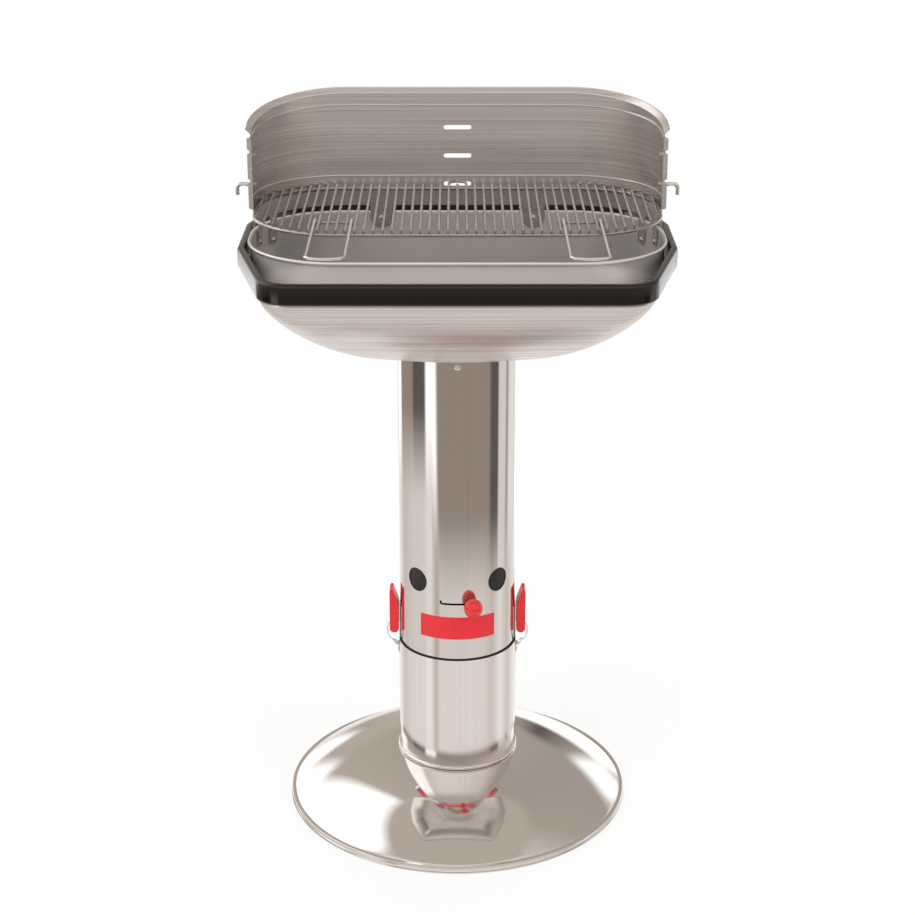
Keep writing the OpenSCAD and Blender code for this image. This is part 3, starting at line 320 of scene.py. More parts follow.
@dataclass(frozen=True)
class PolishedSteel(Finish):
    """Mirror-rolled stainless sheet: a faint waviness, polishing lines and hazy patches."""

    grain: Grain = Grain.UPRIGHT
    wave: float = 0.00005
    line: float = 0.0000012

    def build(self) -> bpy.types.Material:
        """Builds the material.

        Returns:
            The material.
        """
        sheet = NodeSheet(self.name)
        haze = sheet.noise((9.0, 9.0, 6.0), 3.0)
        lines = sheet.noise(self.grain.value, 5.0, 0.6)
        colour = sheet.blend(sheet.ranged(lines, 0.0, 0.55), self.colour, self.shade)
        rough = sheet.ranged(haze, *self.rough)
        wavy = sheet.bump(sheet.noise((7.0, 7.0, 3.0), 1.0), self.wave)
        normal = sheet.bump(lines, self.line, wavy)
        return sheet.finish(Base_Color=colour, Metallic=1.0, Roughness=rough, Normal=normal)


@dataclass(frozen=True)
class BrushedSteel(Finish):
    """Stainless sheet brushed one way: long streaks in its colour, its gloss and its relief."""

    grain: Grain = Grain.LEVEL
    stretch: float = 0.4
    line: float = 0.000003
    metal: float = 0.9

    def build(self) -> bpy.types.Material:
        """Builds the material.

        Returns:
            The material.
        """
        sheet = NodeSheet(self.name)
        lines = sheet.noise(self.grain.value, 3.0, 0.5)
        patches = sheet.noise((7.0, 7.0, 7.0), 3.0)
        streaks = sheet.blend(sheet.ranged(lines, 0.0, 1.0), self.colour, self.shade)
        colour = sheet.blend(sheet.ranged(patches, 0.0, 0.3, 0.1, 0.9), streaks, self.shade)
        rough = sheet.ranged(patches, *self.rough, 0.1, 0.9)
        normal = sheet.bump(lines, self.line)
        return sheet.finish(Base_Color=colour, Metallic=self.metal, Roughness=rough,
                            Anisotropic=self.stretch, Normal=normal)


@dataclass(frozen=True)
class DrawnWire(Finish):
    """Plated wire: drawing marks, small pits and a little tarnish."""

    pit: float = 0.00001

    def build(self) -> bpy.types.Material:
        """Builds the material.

        Returns:
            The material.
        """
        sheet = NodeSheet(self.name)
        marks = sheet.noise((300.0, 300.0, 300.0), 4.0)
        tarnish = sheet.noise((14.0, 14.0, 14.0), 3.0)
        colour = sheet.blend(sheet.ranged(tarnish, 0.0, 1.0), self.colour, self.shade)
        rough = sheet.ranged(marks, *self.rough)
        normal = sheet.bump(marks, self.pit)
        return sheet.finish(Base_Color=colour, Metallic=1.0, Roughness=rough, Normal=normal)


@dataclass(frozen=True)
class StoveEnamel(Finish):
    """Black stove enamel on steel: slight orange peel, a little dust in its gloss."""

    peel: float = 0.00003
    ior: float = 1.5

    def build(self) -> bpy.types.Material:
        """Builds the material.

        Returns:
            The material.
        """
        sheet = NodeSheet(self.name)
        peel = sheet.noise((650.0, 650.0, 650.0), 2.0)
        dust = sheet.noise((28.0, 28.0, 28.0), 5.0)
        colour = sheet.blend(sheet.ranged(dust, 0.0, 1.0), self.colour, self.shade)
        rough = sheet.ranged(dust, *self.rough)
        return sheet.finish(Base_Color=colour, Roughness=rough, Specular_IOR_Level=0.5, IOR=self.ior,
                            Normal=sheet.bump(peel, self.peel))


@dataclass(frozen=True)
class RoughIron(Finish):
    """Bare dark iron: scale, pits and a dull sheen."""

    metal: float = 0.55
    pit: float = 0.00008

    def build(self) -> bpy.types.Material:
        """Builds the material.

        Returns:
            The material.
        """
        sheet = NodeSheet(self.name)
        scale = sheet.noise((160.0, 160.0, 160.0), 6.0)
        patches = sheet.noise((22.0, 22.0, 22.0), 4.0)
        colour = sheet.blend(sheet.ranged(patches, 0.0, 1.0), self.colour, self.shade)
        rough = sheet.ranged(scale, *self.rough)
        return sheet.finish(Base_Color=colour, Metallic=self.metal, Roughness=rough,
                            Normal=sheet.bump(scale, self.pit))


@dataclass(frozen=True)
class MouldedPlastic(Finish):
    """Moulded heat-proof plastic: a fine spark-eroded grain and worn, glossier patches."""

    grain: float = 0.00002
    coat: float = 0.15
    coat_rough: float = 0.12

    def build(self) -> bpy.types.Material:
        """Builds the material.

        Returns:
            The material.
        """
        sheet = NodeSheet(self.name)
        grain = sheet.noise((1500.0, 1500.0, 1500.0), 2.0)
        worn = sheet.noise((45.0, 45.0, 45.0), 3.0)
        colour = sheet.blend(sheet.ranged(worn, 0.0, 1.0), self.colour, self.shade)
        rough = sheet.ranged(worn, *self.rough)
        return sheet.finish(Base_Color=colour, Roughness=rough, Coat_Weight=self.coat,
                            Coat_Roughness=self.coat_rough, Normal=sheet.bump(grain, self.grain))


@dataclass(frozen=True)
class CrackledGlaze(Finish):
    """A glossy ball glaze with fine crackle under a clear coat, which sparkles in the light."""

    cell: float = 330.0
    depth: float = 0.0006
    edge: float = 0.35
    coat_rough: float = 0.03

    def build(self) -> bpy.types.Material:
        """Builds the material.

        Returns:
            The material.
        """
        sheet = NodeSheet(self.name)
        place = sheet.add("ShaderNodeTexCoord")
        cells = sheet.add("ShaderNodeTexVoronoi", {"Vector": place.outputs["Object"], "Scale": self.cell},
                          feature="DISTANCE_TO_EDGE")
        edges = sheet.ranged(cells.outputs["Distance"], 0.0, 1.0, 0.0, self.edge)
        colour = sheet.blend(edges, self.shade, self.colour)
        rough = sheet.ranged(edges, *self.rough, 0.0, 1.0)
        return sheet.finish(Base_Color=colour, Roughness=rough, Coat_Weight=1.0,
                            Coat_Roughness=self.coat_rough, Normal=sheet.bump(edges, self.depth))


# The finish of each slot, with its main and its darker colour in display values
FINISHES: dict[Slot, Finish] = {
    Slot.POLISHED: PolishedSteel("polished stainless", linear(232, 228, 225), linear(222, 217, 212),
                                 (0.05, 0.09)),
    Slot.POT: PolishedSteel("pot stainless", linear(246, 241, 239), linear(234, 227, 223), (0.11, 0.17)),
    Slot.BRUSHED: BrushedSteel("brushed stainless", linear(242, 238, 236), linear(204, 198, 194), (0.2, 0.3)),
    Slot.RING: BrushedSteel("fire ring stainless", linear(244, 239, 236), linear(228, 222, 218), (0.2, 0.3),
                            metal=0.45),
    Slot.GRID: DrawnWire("grid wire", linear(196, 189, 182), linear(166, 157, 149), (0.16, 0.3)),
    Slot.HANDLE: DrawnWire("handle wire", linear(238, 236, 234), linear(222, 218, 214), (0.07, 0.14)),
    Slot.CHARCOAL: RoughIron("charcoal iron", linear(92, 86, 82), linear(62, 57, 54), (0.4, 0.62)),
    Slot.DAMPER: RoughIron("damper sheet", linear(62, 59, 57), linear(40, 38, 37), (0.34, 0.5)),
    Slot.LATCH: PolishedSteel("latch stainless", linear(236, 232, 229), linear(222, 217, 213), (0.08, 0.14),
                              grain=Grain.ROUND),
    Slot.FASTENER: PolishedSteel("zinc fastener", linear(234, 231, 228), linear(208, 204, 200), (0.1, 0.2),
                                 grain=Grain.ROUND),
    Slot.GUARD: StoveEnamel("black enamel", linear(5, 4, 4), linear(9, 7, 6), (0.1, 0.16), ior=1.55),
    Slot.SEAL: StoveEnamel("black seal", linear(16, 15, 15), linear(26, 25, 24), (0.6, 0.75)),
    Slot.GRIP: MouldedPlastic("red grip plastic", linear(246, 40, 52), linear(232, 34, 46), (0.34, 0.46)),
    Slot.KNOB: CrackledGlaze("red knob glaze", linear(255, 10, 12), linear(226, 4, 8), (0.1, 0.3)),
    Slot.LABEL: MouldedPlastic("red label foil", linear(240, 34, 50), linear(228, 28, 44), (0.36, 0.46),
                               grain=0.000004, coat=0.1),
}


class Wardrobe:
    """Builds each finish once and hands it out by slot."""

    def __init__(self) -> None:
        """Starts with no finish built."""
        self._made: dict[Slot, bpy.types.Material] = {}

    def of(self, slot: Slot) -> bpy.types.Material:
        """The material of a slot.

        Args:
            slot: The record's slot.

        Returns:
            The slot's material, built at its first use.
        """
        if slot not in self._made:
            self._made[slot] = FINISHES[slot].build()
        return self._made[slot]

    def dress(self, node: str) -> None:
        """Gives a node of the frame the finish of its own slot.

        Args:
            node: Name of the node.
        """
        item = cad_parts[node]
        for place in item.material_slots:
            place.material = self.of(Slot(place.name.split(".")[0]))


WARDROBE = Wardrobe()


def turned(centre: Flat, radius: float, start: float, stop: float, steps: int) -> list[Flat]:
    """Points along an arc in a section.

    Args:
        centre: Centre of the arc.
        radius: Radius of the arc.
        start: First angle in degrees.
        stop: Last angle in degrees.
        steps: Number of steps.

    Returns:
        The arc's points, both ends included.
    """
    angles = [math.radians(start + (stop - start) * k / steps) for k in range(steps + 1)]
    return [(centre[0] + radius * math.cos(a), centre[1] + radius * math.sin(a)) for a in angles]


def cubic(values: Sequence[float], t: float) -> float:
    """A cubic curve's value.

    Args:
        values: The curve's four control values.
        t: Place along the curve, from 0 to 1.

    Returns:
        The value there.
    """
    a, b, c, d = values
    return (1 - t) ** 3 * a + 3 * (1 - t) ** 2 * t * b + 3 * (1 - t) * t ** 2 * c + t ** 3 * d


@dataclass
class Piece:
    """One visible piece: its mesh, its finish, and the body and nodes that it goes with.

    Attributes:
        name: Name of the piece.
        slot: The record's slot of its finish.
        body: The body that it rides on.
        replaces: The nodes that it stands for.
        sharp: Edges that turn more than this many degrees stay sharp.
    """

    name: str
    slot: Slot
    body: str
    replaces: tuple[str, ...] = ()
    sharp: float = 38.0

    def skin(self, rings: Sequence[Ring], loop: bool, ring_closed: bool = True,
             capped: bool = False) -> bpy.types.Object:
        """Skins rings of equally many points into an object and places it.

        Args:
            rings: The rings in order.
            loop: True where the last ring joins the first.
            ring_closed: True where each ring's last point joins its first.
            capped: True where the first and last rings get an end face.

        Returns:
            The placed object.
        """
        shape = bmesh.new()
        rows = [[shape.verts.new(point) for point in ring] for ring in rings]
        count = len(rows)
        width = len(rows[0])
        for i in range(count if loop else count - 1):
            upper, lower = rows[i], rows[(i + 1) % count]
            for j in range(width if ring_closed else width - 1):
                k = (j + 1) % width
                shape.faces.new((upper[j], upper[k], lower[k], lower[j]))
        if capped:
            shape.faces.new(rows[0])
            shape.faces.new(list(reversed(rows[-1])))
        return self.place(shape)

    def place(self, shape: bmesh.types.BMesh) -> bpy.types.Object:
        """Turns a finished shape into the piece's object, dressed and riding on its body.

        Args:
            shape: The shape, which is freed.

        Returns:
            The placed object.
        """
        bmesh.ops.remove_doubles(shape, verts=shape.verts, dist=1e-7)
        bmesh.ops.recalc_face_normals(shape, faces=shape.faces)
        mesh = mesh_of(self.name, shape)
        for face in mesh.polygons:
            face.use_smooth = True
        mesh.set_sharp_from_angle(angle=math.radians(self.sharp))
        item = linked(self.name, mesh)
        mesh.materials.append(WARDROBE.of(self.slot))
        if self.replaces:
            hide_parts(*self.replaces)
        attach(item, self.body)
        log.info("%s rides on %s with %d faces", self.name, self.body, len(mesh.polygons))
        return item


def revolve(profile: Sequence[Flat], steps: int) -> list[Ring]:
    """Rings of a shape turned about the column's axis.

    Args:
        profile: The section's radius and height, point by point.
        steps: Number of rings round the axis.

    Returns:
        One ring for each angle.
    """
    rings = []
    for i in range(steps):
        a = 2 * math.pi * i / steps
        rings.append([Vector((r * math.cos(a), r * math.sin(a), z)) for r, z in profile])
    return rings


# The angles of the rings that round a wire's end, from its tip outward
WIRE_END_ANGLES = (85, 55, 25)


def tube(path: Sequence[Vector], radius: float, sides: int) -> list[Ring]:
    """Rings of a round wire along a path, with rounded ends.

    Args:
        path: The wire's centre line.
        radius: Radius of the wire.
        sides: Points of each ring.

    Returns:
        One ring for each path point, and three more at each end.
    """
    last = len(path) - 1
    headings = [(path[min(i + 1, last)] - path[max(i - 1, 0)]).normalized() for i in range(last + 1)]
    across = headings[0].orthogonal().normalized()
    frames = []
    for point, heading in zip(path, headings):
        across = (across - heading * across.dot(heading)).normalized()
        frames.append((point, heading, across, heading.cross(across)))
    rounds = [(math.cos(math.radians(a)), math.sin(math.radians(a))) for a in WIRE_END_ANGLES]
    start, end = frames[0], frames[-1]
    stations = [(start[0] - start[1] * radius * out, *start[1:], radius * wide) for wide, out in rounds]
    stations += [(*item, radius) for item in frames]
    stations += [(end[0] + end[1] * radius * out, *end[1:], radius * wide) for wide, out in reversed(rounds)]
    turns = [2 * math.pi * k / sides for k in range(sides)]
    return [[centre + first * size * math.cos(t) + second * size * math.sin(t) for t in turns]
            for centre, _, first, second, size in stations]


@dataclass
class Foot:
    """The spun foot: a flat neck, a domed skirt, an edge band and a rolled edge."""

    neck_radius: float = 0.074
    wall: float = 0.0015
    band_width: float = 0.007
    band_height: float = 0.011
    crease: float = 0.0005
    bead_radius: float = 0.0026
    edge_shares: tuple[float, float, float] = (3.0, 1.6, 0.6)
    flare_shares: tuple[float, float] = (0.3333, 0.6667)
    drop_shares: tuple[float, float] = (0.0, 0.6667)
    steps: int = 64
    turns: int = 256

    def line(self, drop: float) -> list[Flat]:
        """The skirt's line from the neck to the edge band.

        Args:
            drop: How far the line lies below the outer skin at the neck.

        Returns:
            Radius and height, point by point.
        """
        top = box("base_dish")[1]
        band = top.x - self.band_width
        run = band - self.neck_radius
        fall = top.z - self.band_height
        radii = (self.neck_radius, self.neck_radius + run * self.flare_shares[0],
                 self.neck_radius + run * self.flare_shares[1], band)
        heights = (top.z, top.z - fall * self.drop_shares[0],
                   self.band_height + fall * self.drop_shares[1], self.band_height)
        return [(cubic(radii, k / self.steps) - drop * k / self.steps, cubic(heights, k / self.steps) - drop)
                for k in range(self.steps + 1)]

    def section(self) -> list[Flat]:
        """The foot's closed section, from the axis over the top and back underneath."""
        top = box("base_dish")[1]
        edge = top.x
        band = self.band_height - self.crease
        groove = 2 * self.bead_radius + self.crease
        inset, centre, face = (share * self.wall for share in self.edge_shares)
        return ([(0.0, top.z)] + self.line(0.0)
                + [(edge - self.band_width + self.crease, band), (edge - inset, band)]
                + turned((edge - centre, band - self.wall), self.wall, 90, 10, 6)
                + [(edge - face, groove), (edge - self.wall, groove - self.crease)]
                + turned((edge - self.bead_radius, self.bead_radius), self.bead_radius, 50, -180, 14)
                + [(edge - 2 * self.bead_radius, groove)]
                + list(reversed(self.line(self.wall))) + [(0.0, top.z - self.wall)])

    def build(self) -> None:
        """Builds the foot in place of its plain solid."""
        Piece("spun_foot", Slot.POLISHED, "stand", ("base_dish",)).skin(
            revolve(self.section(), self.turns), loop=True, ring_closed=False)


@dataclass
class RimPlan:
    """The eight-cornered plan of the bowl's rim and its guard.

    Attributes:
        side_half: Half length of the short sides.
        front_half: Half length of the front and the back, corner to corner.
        side_radius: Radius of the side corners.
        front_radius: Radius of the front and back corners.
        corner_steps: Steps round each corner.
        run_steps: Steps along each straight run.
    """

    side_half: float = 0.0625
    front_half: float = 0.239
    side_radius: float = 0.015
    front_radius: float = 0.045
    corner_steps: int = 14
    run_steps: int = 14

    def corners(self) -> list[tuple[float, float, float]]:
        """The corners, each with its fillet radius, turning to the left."""
        half = box("rim_guard")[1]
        side = [(half.x, -self.side_half, self.side_radius), (half.x, self.side_half, self.side_radius)]
        back = [(self.front_half, half.y, self.front_radius), (-self.front_half, half.y, self.front_radius)]
        return side + back + [(-x, -y, r) for x, y, r in side + back]

    def stations(self) -> list[tuple[Vector, Vector]]:
        """Places along the rim's outside, each with the direction that points outward."""
        corners = self.corners()
        count = len(corners)
        found = []
        for i, (x, y, radius) in enumerate(corners):
            place = Vector((x, y, 0.0))
            before = (place - Vector((*corners[i - 1][:2], 0.0))).normalized()
            after = (Vector((*corners[(i + 1) % count][:2], 0.0)) - place).normalized()
            turn = before.angle(after)
            out = (before - after).normalized()
            centre = place - out * (radius / math.cos(turn / 2))
            first = Vector((before.y, -before.x, 0.0))
            for k in range(self.corner_steps + 1):
                u = Matrix.Rotation(turn * k / self.corner_steps, 3, "Z") @ first
                found.append((centre + u * radius, u))
        full = []
        for i, (place, out) in enumerate(found):
            full.append((place, out))
            following = found[(i + 1) % len(found)]
            if i % (self.corner_steps + 1) == self.corner_steps:
                full += [(place.lerp(following[0], k / self.run_steps), out)
                         for k in range(1, self.run_steps)]
        return full


@dataclass
class Bowl:
    """The pressed bowl and the black guard round its rim."""

    plan: RimPlan = field(default_factory=RimPlan)
    wall: float = 0.0015
    flat_radius: float = 0.084
    hole_radius: float = 0.074
    start_share: float = 0.5
    side_share: float = 0.985
    rise_share: float = 0.8
    levels: int = 36
    guard_thick: float = 0.0089
    groove: float = 0.014
    gap: float = 0.0003
    top_round: float = 0.0048
    low_round: float = 0.0034
    inner_round: float = 0.0016

    @property
    def rim_offset(self) -> float:
        """Distance of the bowl's outer skin from the guard's outside at the rim."""
        return -(self.guard_thick - self.wall) / 2 - self.wall / 4

    def skin_point(self, rim: Vector, low: float, high: float, t: float) -> Vector:
        """A point of the bowl's side between its flat bottom and its rim.

        Args:
            rim: The rim's point above it.
            low: Height of the flat bottom.
            high: Height where the side ends.
            t: Place up the side, from 0 to 1.

        Returns:
            The point.
        """
        out = cubic((0.0, self.start_share, self.side_share, 1.0), t)
        up = cubic((0.0, 0.0, self.rise_share, 1.0), t)
        place = rim.normalized() * self.flat_radius * (1 - out) + rim * out
        return Vector((place.x, place.y, low + (high - low) * up))

    def section(self, place: Vector, out: Vector) -> Ring:
        """The bowl's closed section at one station of its rim.

        Args:
            place: The station on the guard's outside.
            out: The direction that points outward there.

        Returns:
            The section's points, up the outer skin and down the inner one.
        """
        low = box("bowl")[0].z
        top = box("bowl")[1].z
        high = box("rim_guard")[0].z - self.wall
        rim = place + out * self.rim_offset
        inner = place + out * (self.rim_offset - self.wall)
        shares = [k / self.levels for k in range(self.levels + 1)]
        hole = rim.normalized() * self.hole_radius
        return ([Vector((hole.x, hole.y, low))]
                + [self.skin_point(rim, low, high, t) for t in shares]
                + [Vector((rim.x, rim.y, top)), Vector((inner.x, inner.y, top))]
                + [self.skin_point(inner, low + self.wall, high + self.wall, 1 - t) for t in shares]
                + [Vector((hole.x, hole.y, low + self.wall))])

    def guard_section(self) -> list[Flat]:
        """The guard's section: offset from its outside, and height above its lower edge."""
        low, high = box("rim_guard")
        tall = high.z - low.z
        outer = self.rim_offset + self.gap
        inner = self.rim_offset - self.wall - self.gap
        return ([(-self.guard_thick + self.gap, 0.0), (inner, 0.0), (inner, self.groove),
                 (outer, self.groove), (outer, 0.0)]
                + turned((-self.low_round, self.low_round), self.low_round, -80, 0, 7)
                + turned((-self.top_round, tall - self.top_round), self.top_round, 0, 90, 9)
                + turned((self.inner_round - self.guard_thick, tall - self.inner_round),
                         self.inner_round, 90, 180, 5)
                + [(-self.guard_thick, self.gap)])

    def build(self) -> None:
        """Builds the bowl and its guard in place of their plain solids."""
        stations = self.plan.stations()
        Piece("brushed_bowl", Slot.BRUSHED, "stand", ("bowl",)).skin(
            [self.section(place, out) for place, out in stations], loop=True)
        base = box("rim_guard")[0].z
        rail = [[place + out * reach + Vector((0.0, 0.0, base + rise))
                 for reach, rise in self.guard_section()] for place, out in stations]
        Piece("rim_bumper", Slot.GUARD, "stand", ("rim_guard",)).skin(rail, loop=True)


@dataclass
class FlaredRim:
    """The flared and rolled rim along the windscreen's sloping top edge."""

    half_width: float = 0.269
    half_depth: float = 0.1344
    corner: float = 0.1194
    front_height: float = 0.959
    back_height: float = 0.988
    lap: float = 0.00005
    sheet: float = 0.001
    bead_centre: Flat = (0.0053, 0.00672)
    bead_radius: float = 0.00105
    outer_line: tuple[Flat, Flat] = ((0.0003, 0.0006), (0.0047, 0.0053))
    inner_line: tuple[Flat, Flat] = ((0.0040, 0.0062), (-0.0006, 0.0016))
    corner_steps: int = 40
    run_steps: int = 6

    def stations(self) -> list[tuple[Vector, Vector]]:
        """Places along the windscreen's outer face, each with the direction that points outward."""
        line = self.half_depth - self.corner
        right = [(Vector((self.half_width, line * k / self.run_steps, 0.0)), Vector((1.0, 0.0, 0.0)))
                 for k in range(self.run_steps)]
        arc = []
        for k in range(self.corner_steps + 1):
            a = math.pi / 2 * k / self.corner_steps
            u = Vector((math.cos(a), math.sin(a), 0.0))
            arc.append((Vector((self.half_width - self.corner, line, 0.0)) + u * self.corner, u))
        half = right + arc
        flip = Vector((-1.0, 1.0, 1.0))
        return half + [(place * flip, out * flip) for place, out in reversed(half)]

    def section(self) -> list[Flat]:
        """The rim's section: offset from the windscreen's outer face, and height above its edge."""
        return ([(-self.sheet, 0.0), (0.0, 0.0), *self.outer_line]
                + turned(self.bead_centre, self.bead_radius, -70, 190, 14)
                + [*self.inner_line, (-self.sheet, self.sheet)])

    def build(self) -> None:
        """Builds the rim in place of its plain solid."""
        slope = (self.back_height - self.front_height) / self.half_depth
        rings = []
        for place, out in self.stations():
            base = self.front_height + self.lap + place.y * slope
            rings.append([place + out * reach + Vector((0.0, 0.0, base + rise))
                          for reach, rise in self.section()])
        Piece("flared_rim", Slot.BRUSHED, "stand", ("screen_rim",)).skin(rings, loop=False, capped=True)


@dataclass
class ScreenBeads:
    """The two beads that stiffen the windscreen, as they show inside: one follows its top, one is level.

    Attributes:
        rim: The rim, whose plan the beads follow.
        upper: Height of the upper bead at the windscreen's front ends.
        climb: Rise of the upper bead from the front ends to the back.
        lower: Height of the level bead.
        proud: How far a bead stands out.
        half_height: Half height of a bead.
        bite: How far a bead is let into the sheet.
        steps: Steps round a bead's section.
    """

    rim: FlaredRim = field(default_factory=FlaredRim)
    upper: float = 0.9548
    climb: float = 0.0175
    lower: float = 0.8755
    proud: float = 0.0014
    half_height: float = 0.0011
    bite: float = 0.0002
    steps: int = 10

    def section(self) -> list[Flat]:
        """A bead's section: offset from the outer face, and height above its middle."""
        face = self.bite - self.rim.sheet
        turns = [math.pi * k / self.steps for k in range(self.steps + 1)]
        tall = self.proud + self.bite
        return [(face - tall * math.sin(t), -self.half_height * math.cos(t)) for t in turns]

    def build(self) -> None:
        """Builds both beads."""
        for word, base, climb in (("upper", self.upper, self.climb), ("lower", self.lower, 0.0)):
            rings = []
            for place, out in self.rim.stations():
                level = base + climb * place.y / self.rim.half_depth
                rings.append([place + out * reach + Vector((0.0, 0.0, level + rise))
                              for reach, rise in self.section()])
            Piece(f"screen_bead_{word}", Slot.HANDLE, "stand").skin(rings, loop=False, capped=True)


@dataclass
class GridHandle:
    """One wire handle: an eye round the cross-wire, a leg, a bowed end, a leg and an eye."""

    side: Side
    pitch: float = 0.0118
    inner_gaps: float = 11.5
    outer_gaps: float = 15.5
    eye_radius: float = 0.00381
    wire: float = 0.002
    reach: float = 0.25
    corner: float = 0.01
    bow: float = 24.0
    eye_turn: float = 260.0
    seam: float = 2.0
    eye_steps: int = 28
    leg_steps: int = 8
    corner_steps: int = 10
    bow_steps: int = 8
    sides: int = 20

    def arc(self, centre: Flat, radius: float, start: float, stop: float, steps: int, level: float) -> Ring:
        """A level arc of the wire.

        Args:
            centre: Centre of the arc in plan.
            radius: Radius of the arc.
            start: First angle in degrees.
            stop: Last angle in degrees.
            steps: Number of steps.
            level: Height of the arc.

        Returns:
            The arc's points.
        """
        return [Vector((x, y, level)) for x, y in turned(centre, radius, start, stop, steps)]

    def path(self) -> Ring:
        """The wire's centre line."""
        pin_low, pin_high = box("grid_crosswires")
        pin = Vector((0.0, (pin_low.y + pin_high.y) / 2, (pin_low.z + pin_high.z) / 2))
        half = (self.outer_gaps - self.inner_gaps) * self.pitch / 2
        middle = self.side.value * (self.outer_gaps + self.inner_gaps) * self.pitch / 2
        level = pin.z + self.eye_radius
        bow_radius = (half - self.corner) / math.sin(math.radians(self.bow)) + self.corner
        bow_y = -self.reach + (bow_radius - self.corner) * math.cos(math.radians(self.bow))
        eye = []
        for k in range(self.eye_steps + 1):
            t = math.radians(self.eye_turn * (1 - k / self.eye_steps))
            eye.append(pin + Vector((-half, self.eye_radius * math.sin(t), self.eye_radius * math.cos(t))))
        leg = [Vector((-half, pin.y + (-self.reach - pin.y) * k / self.leg_steps, level))
               for k in range(1, self.leg_steps)]
        turn = self.arc((self.corner - half, -self.reach), self.corner, 180, 270 - self.bow,
                        self.corner_steps, level)
        bend = self.arc((0.0, bow_y), bow_radius, 270 - self.bow + self.seam, 270, self.bow_steps, level)
        front = eye + leg + turn + bend
        flip = Vector((-1.0, 1.0, 1.0))
        whole = front + [point * flip for point in reversed(front[:-1])]
        return [point + Vector((middle, 0.0, 0.0)) for point in whole]

    def build(self) -> None:
        """Builds the handle in place of its plain solid."""
        word = self.side.word
        Piece(f"handle_wire_{word}", Slot.HANDLE, f"grid_handle_{word}", (f"handle_{word}",), 60.0).skin(
            tube(self.path(), self.wire, self.sides), loop=False, capped=True)


Panels = tuple[tuple[float, Tone], ...]


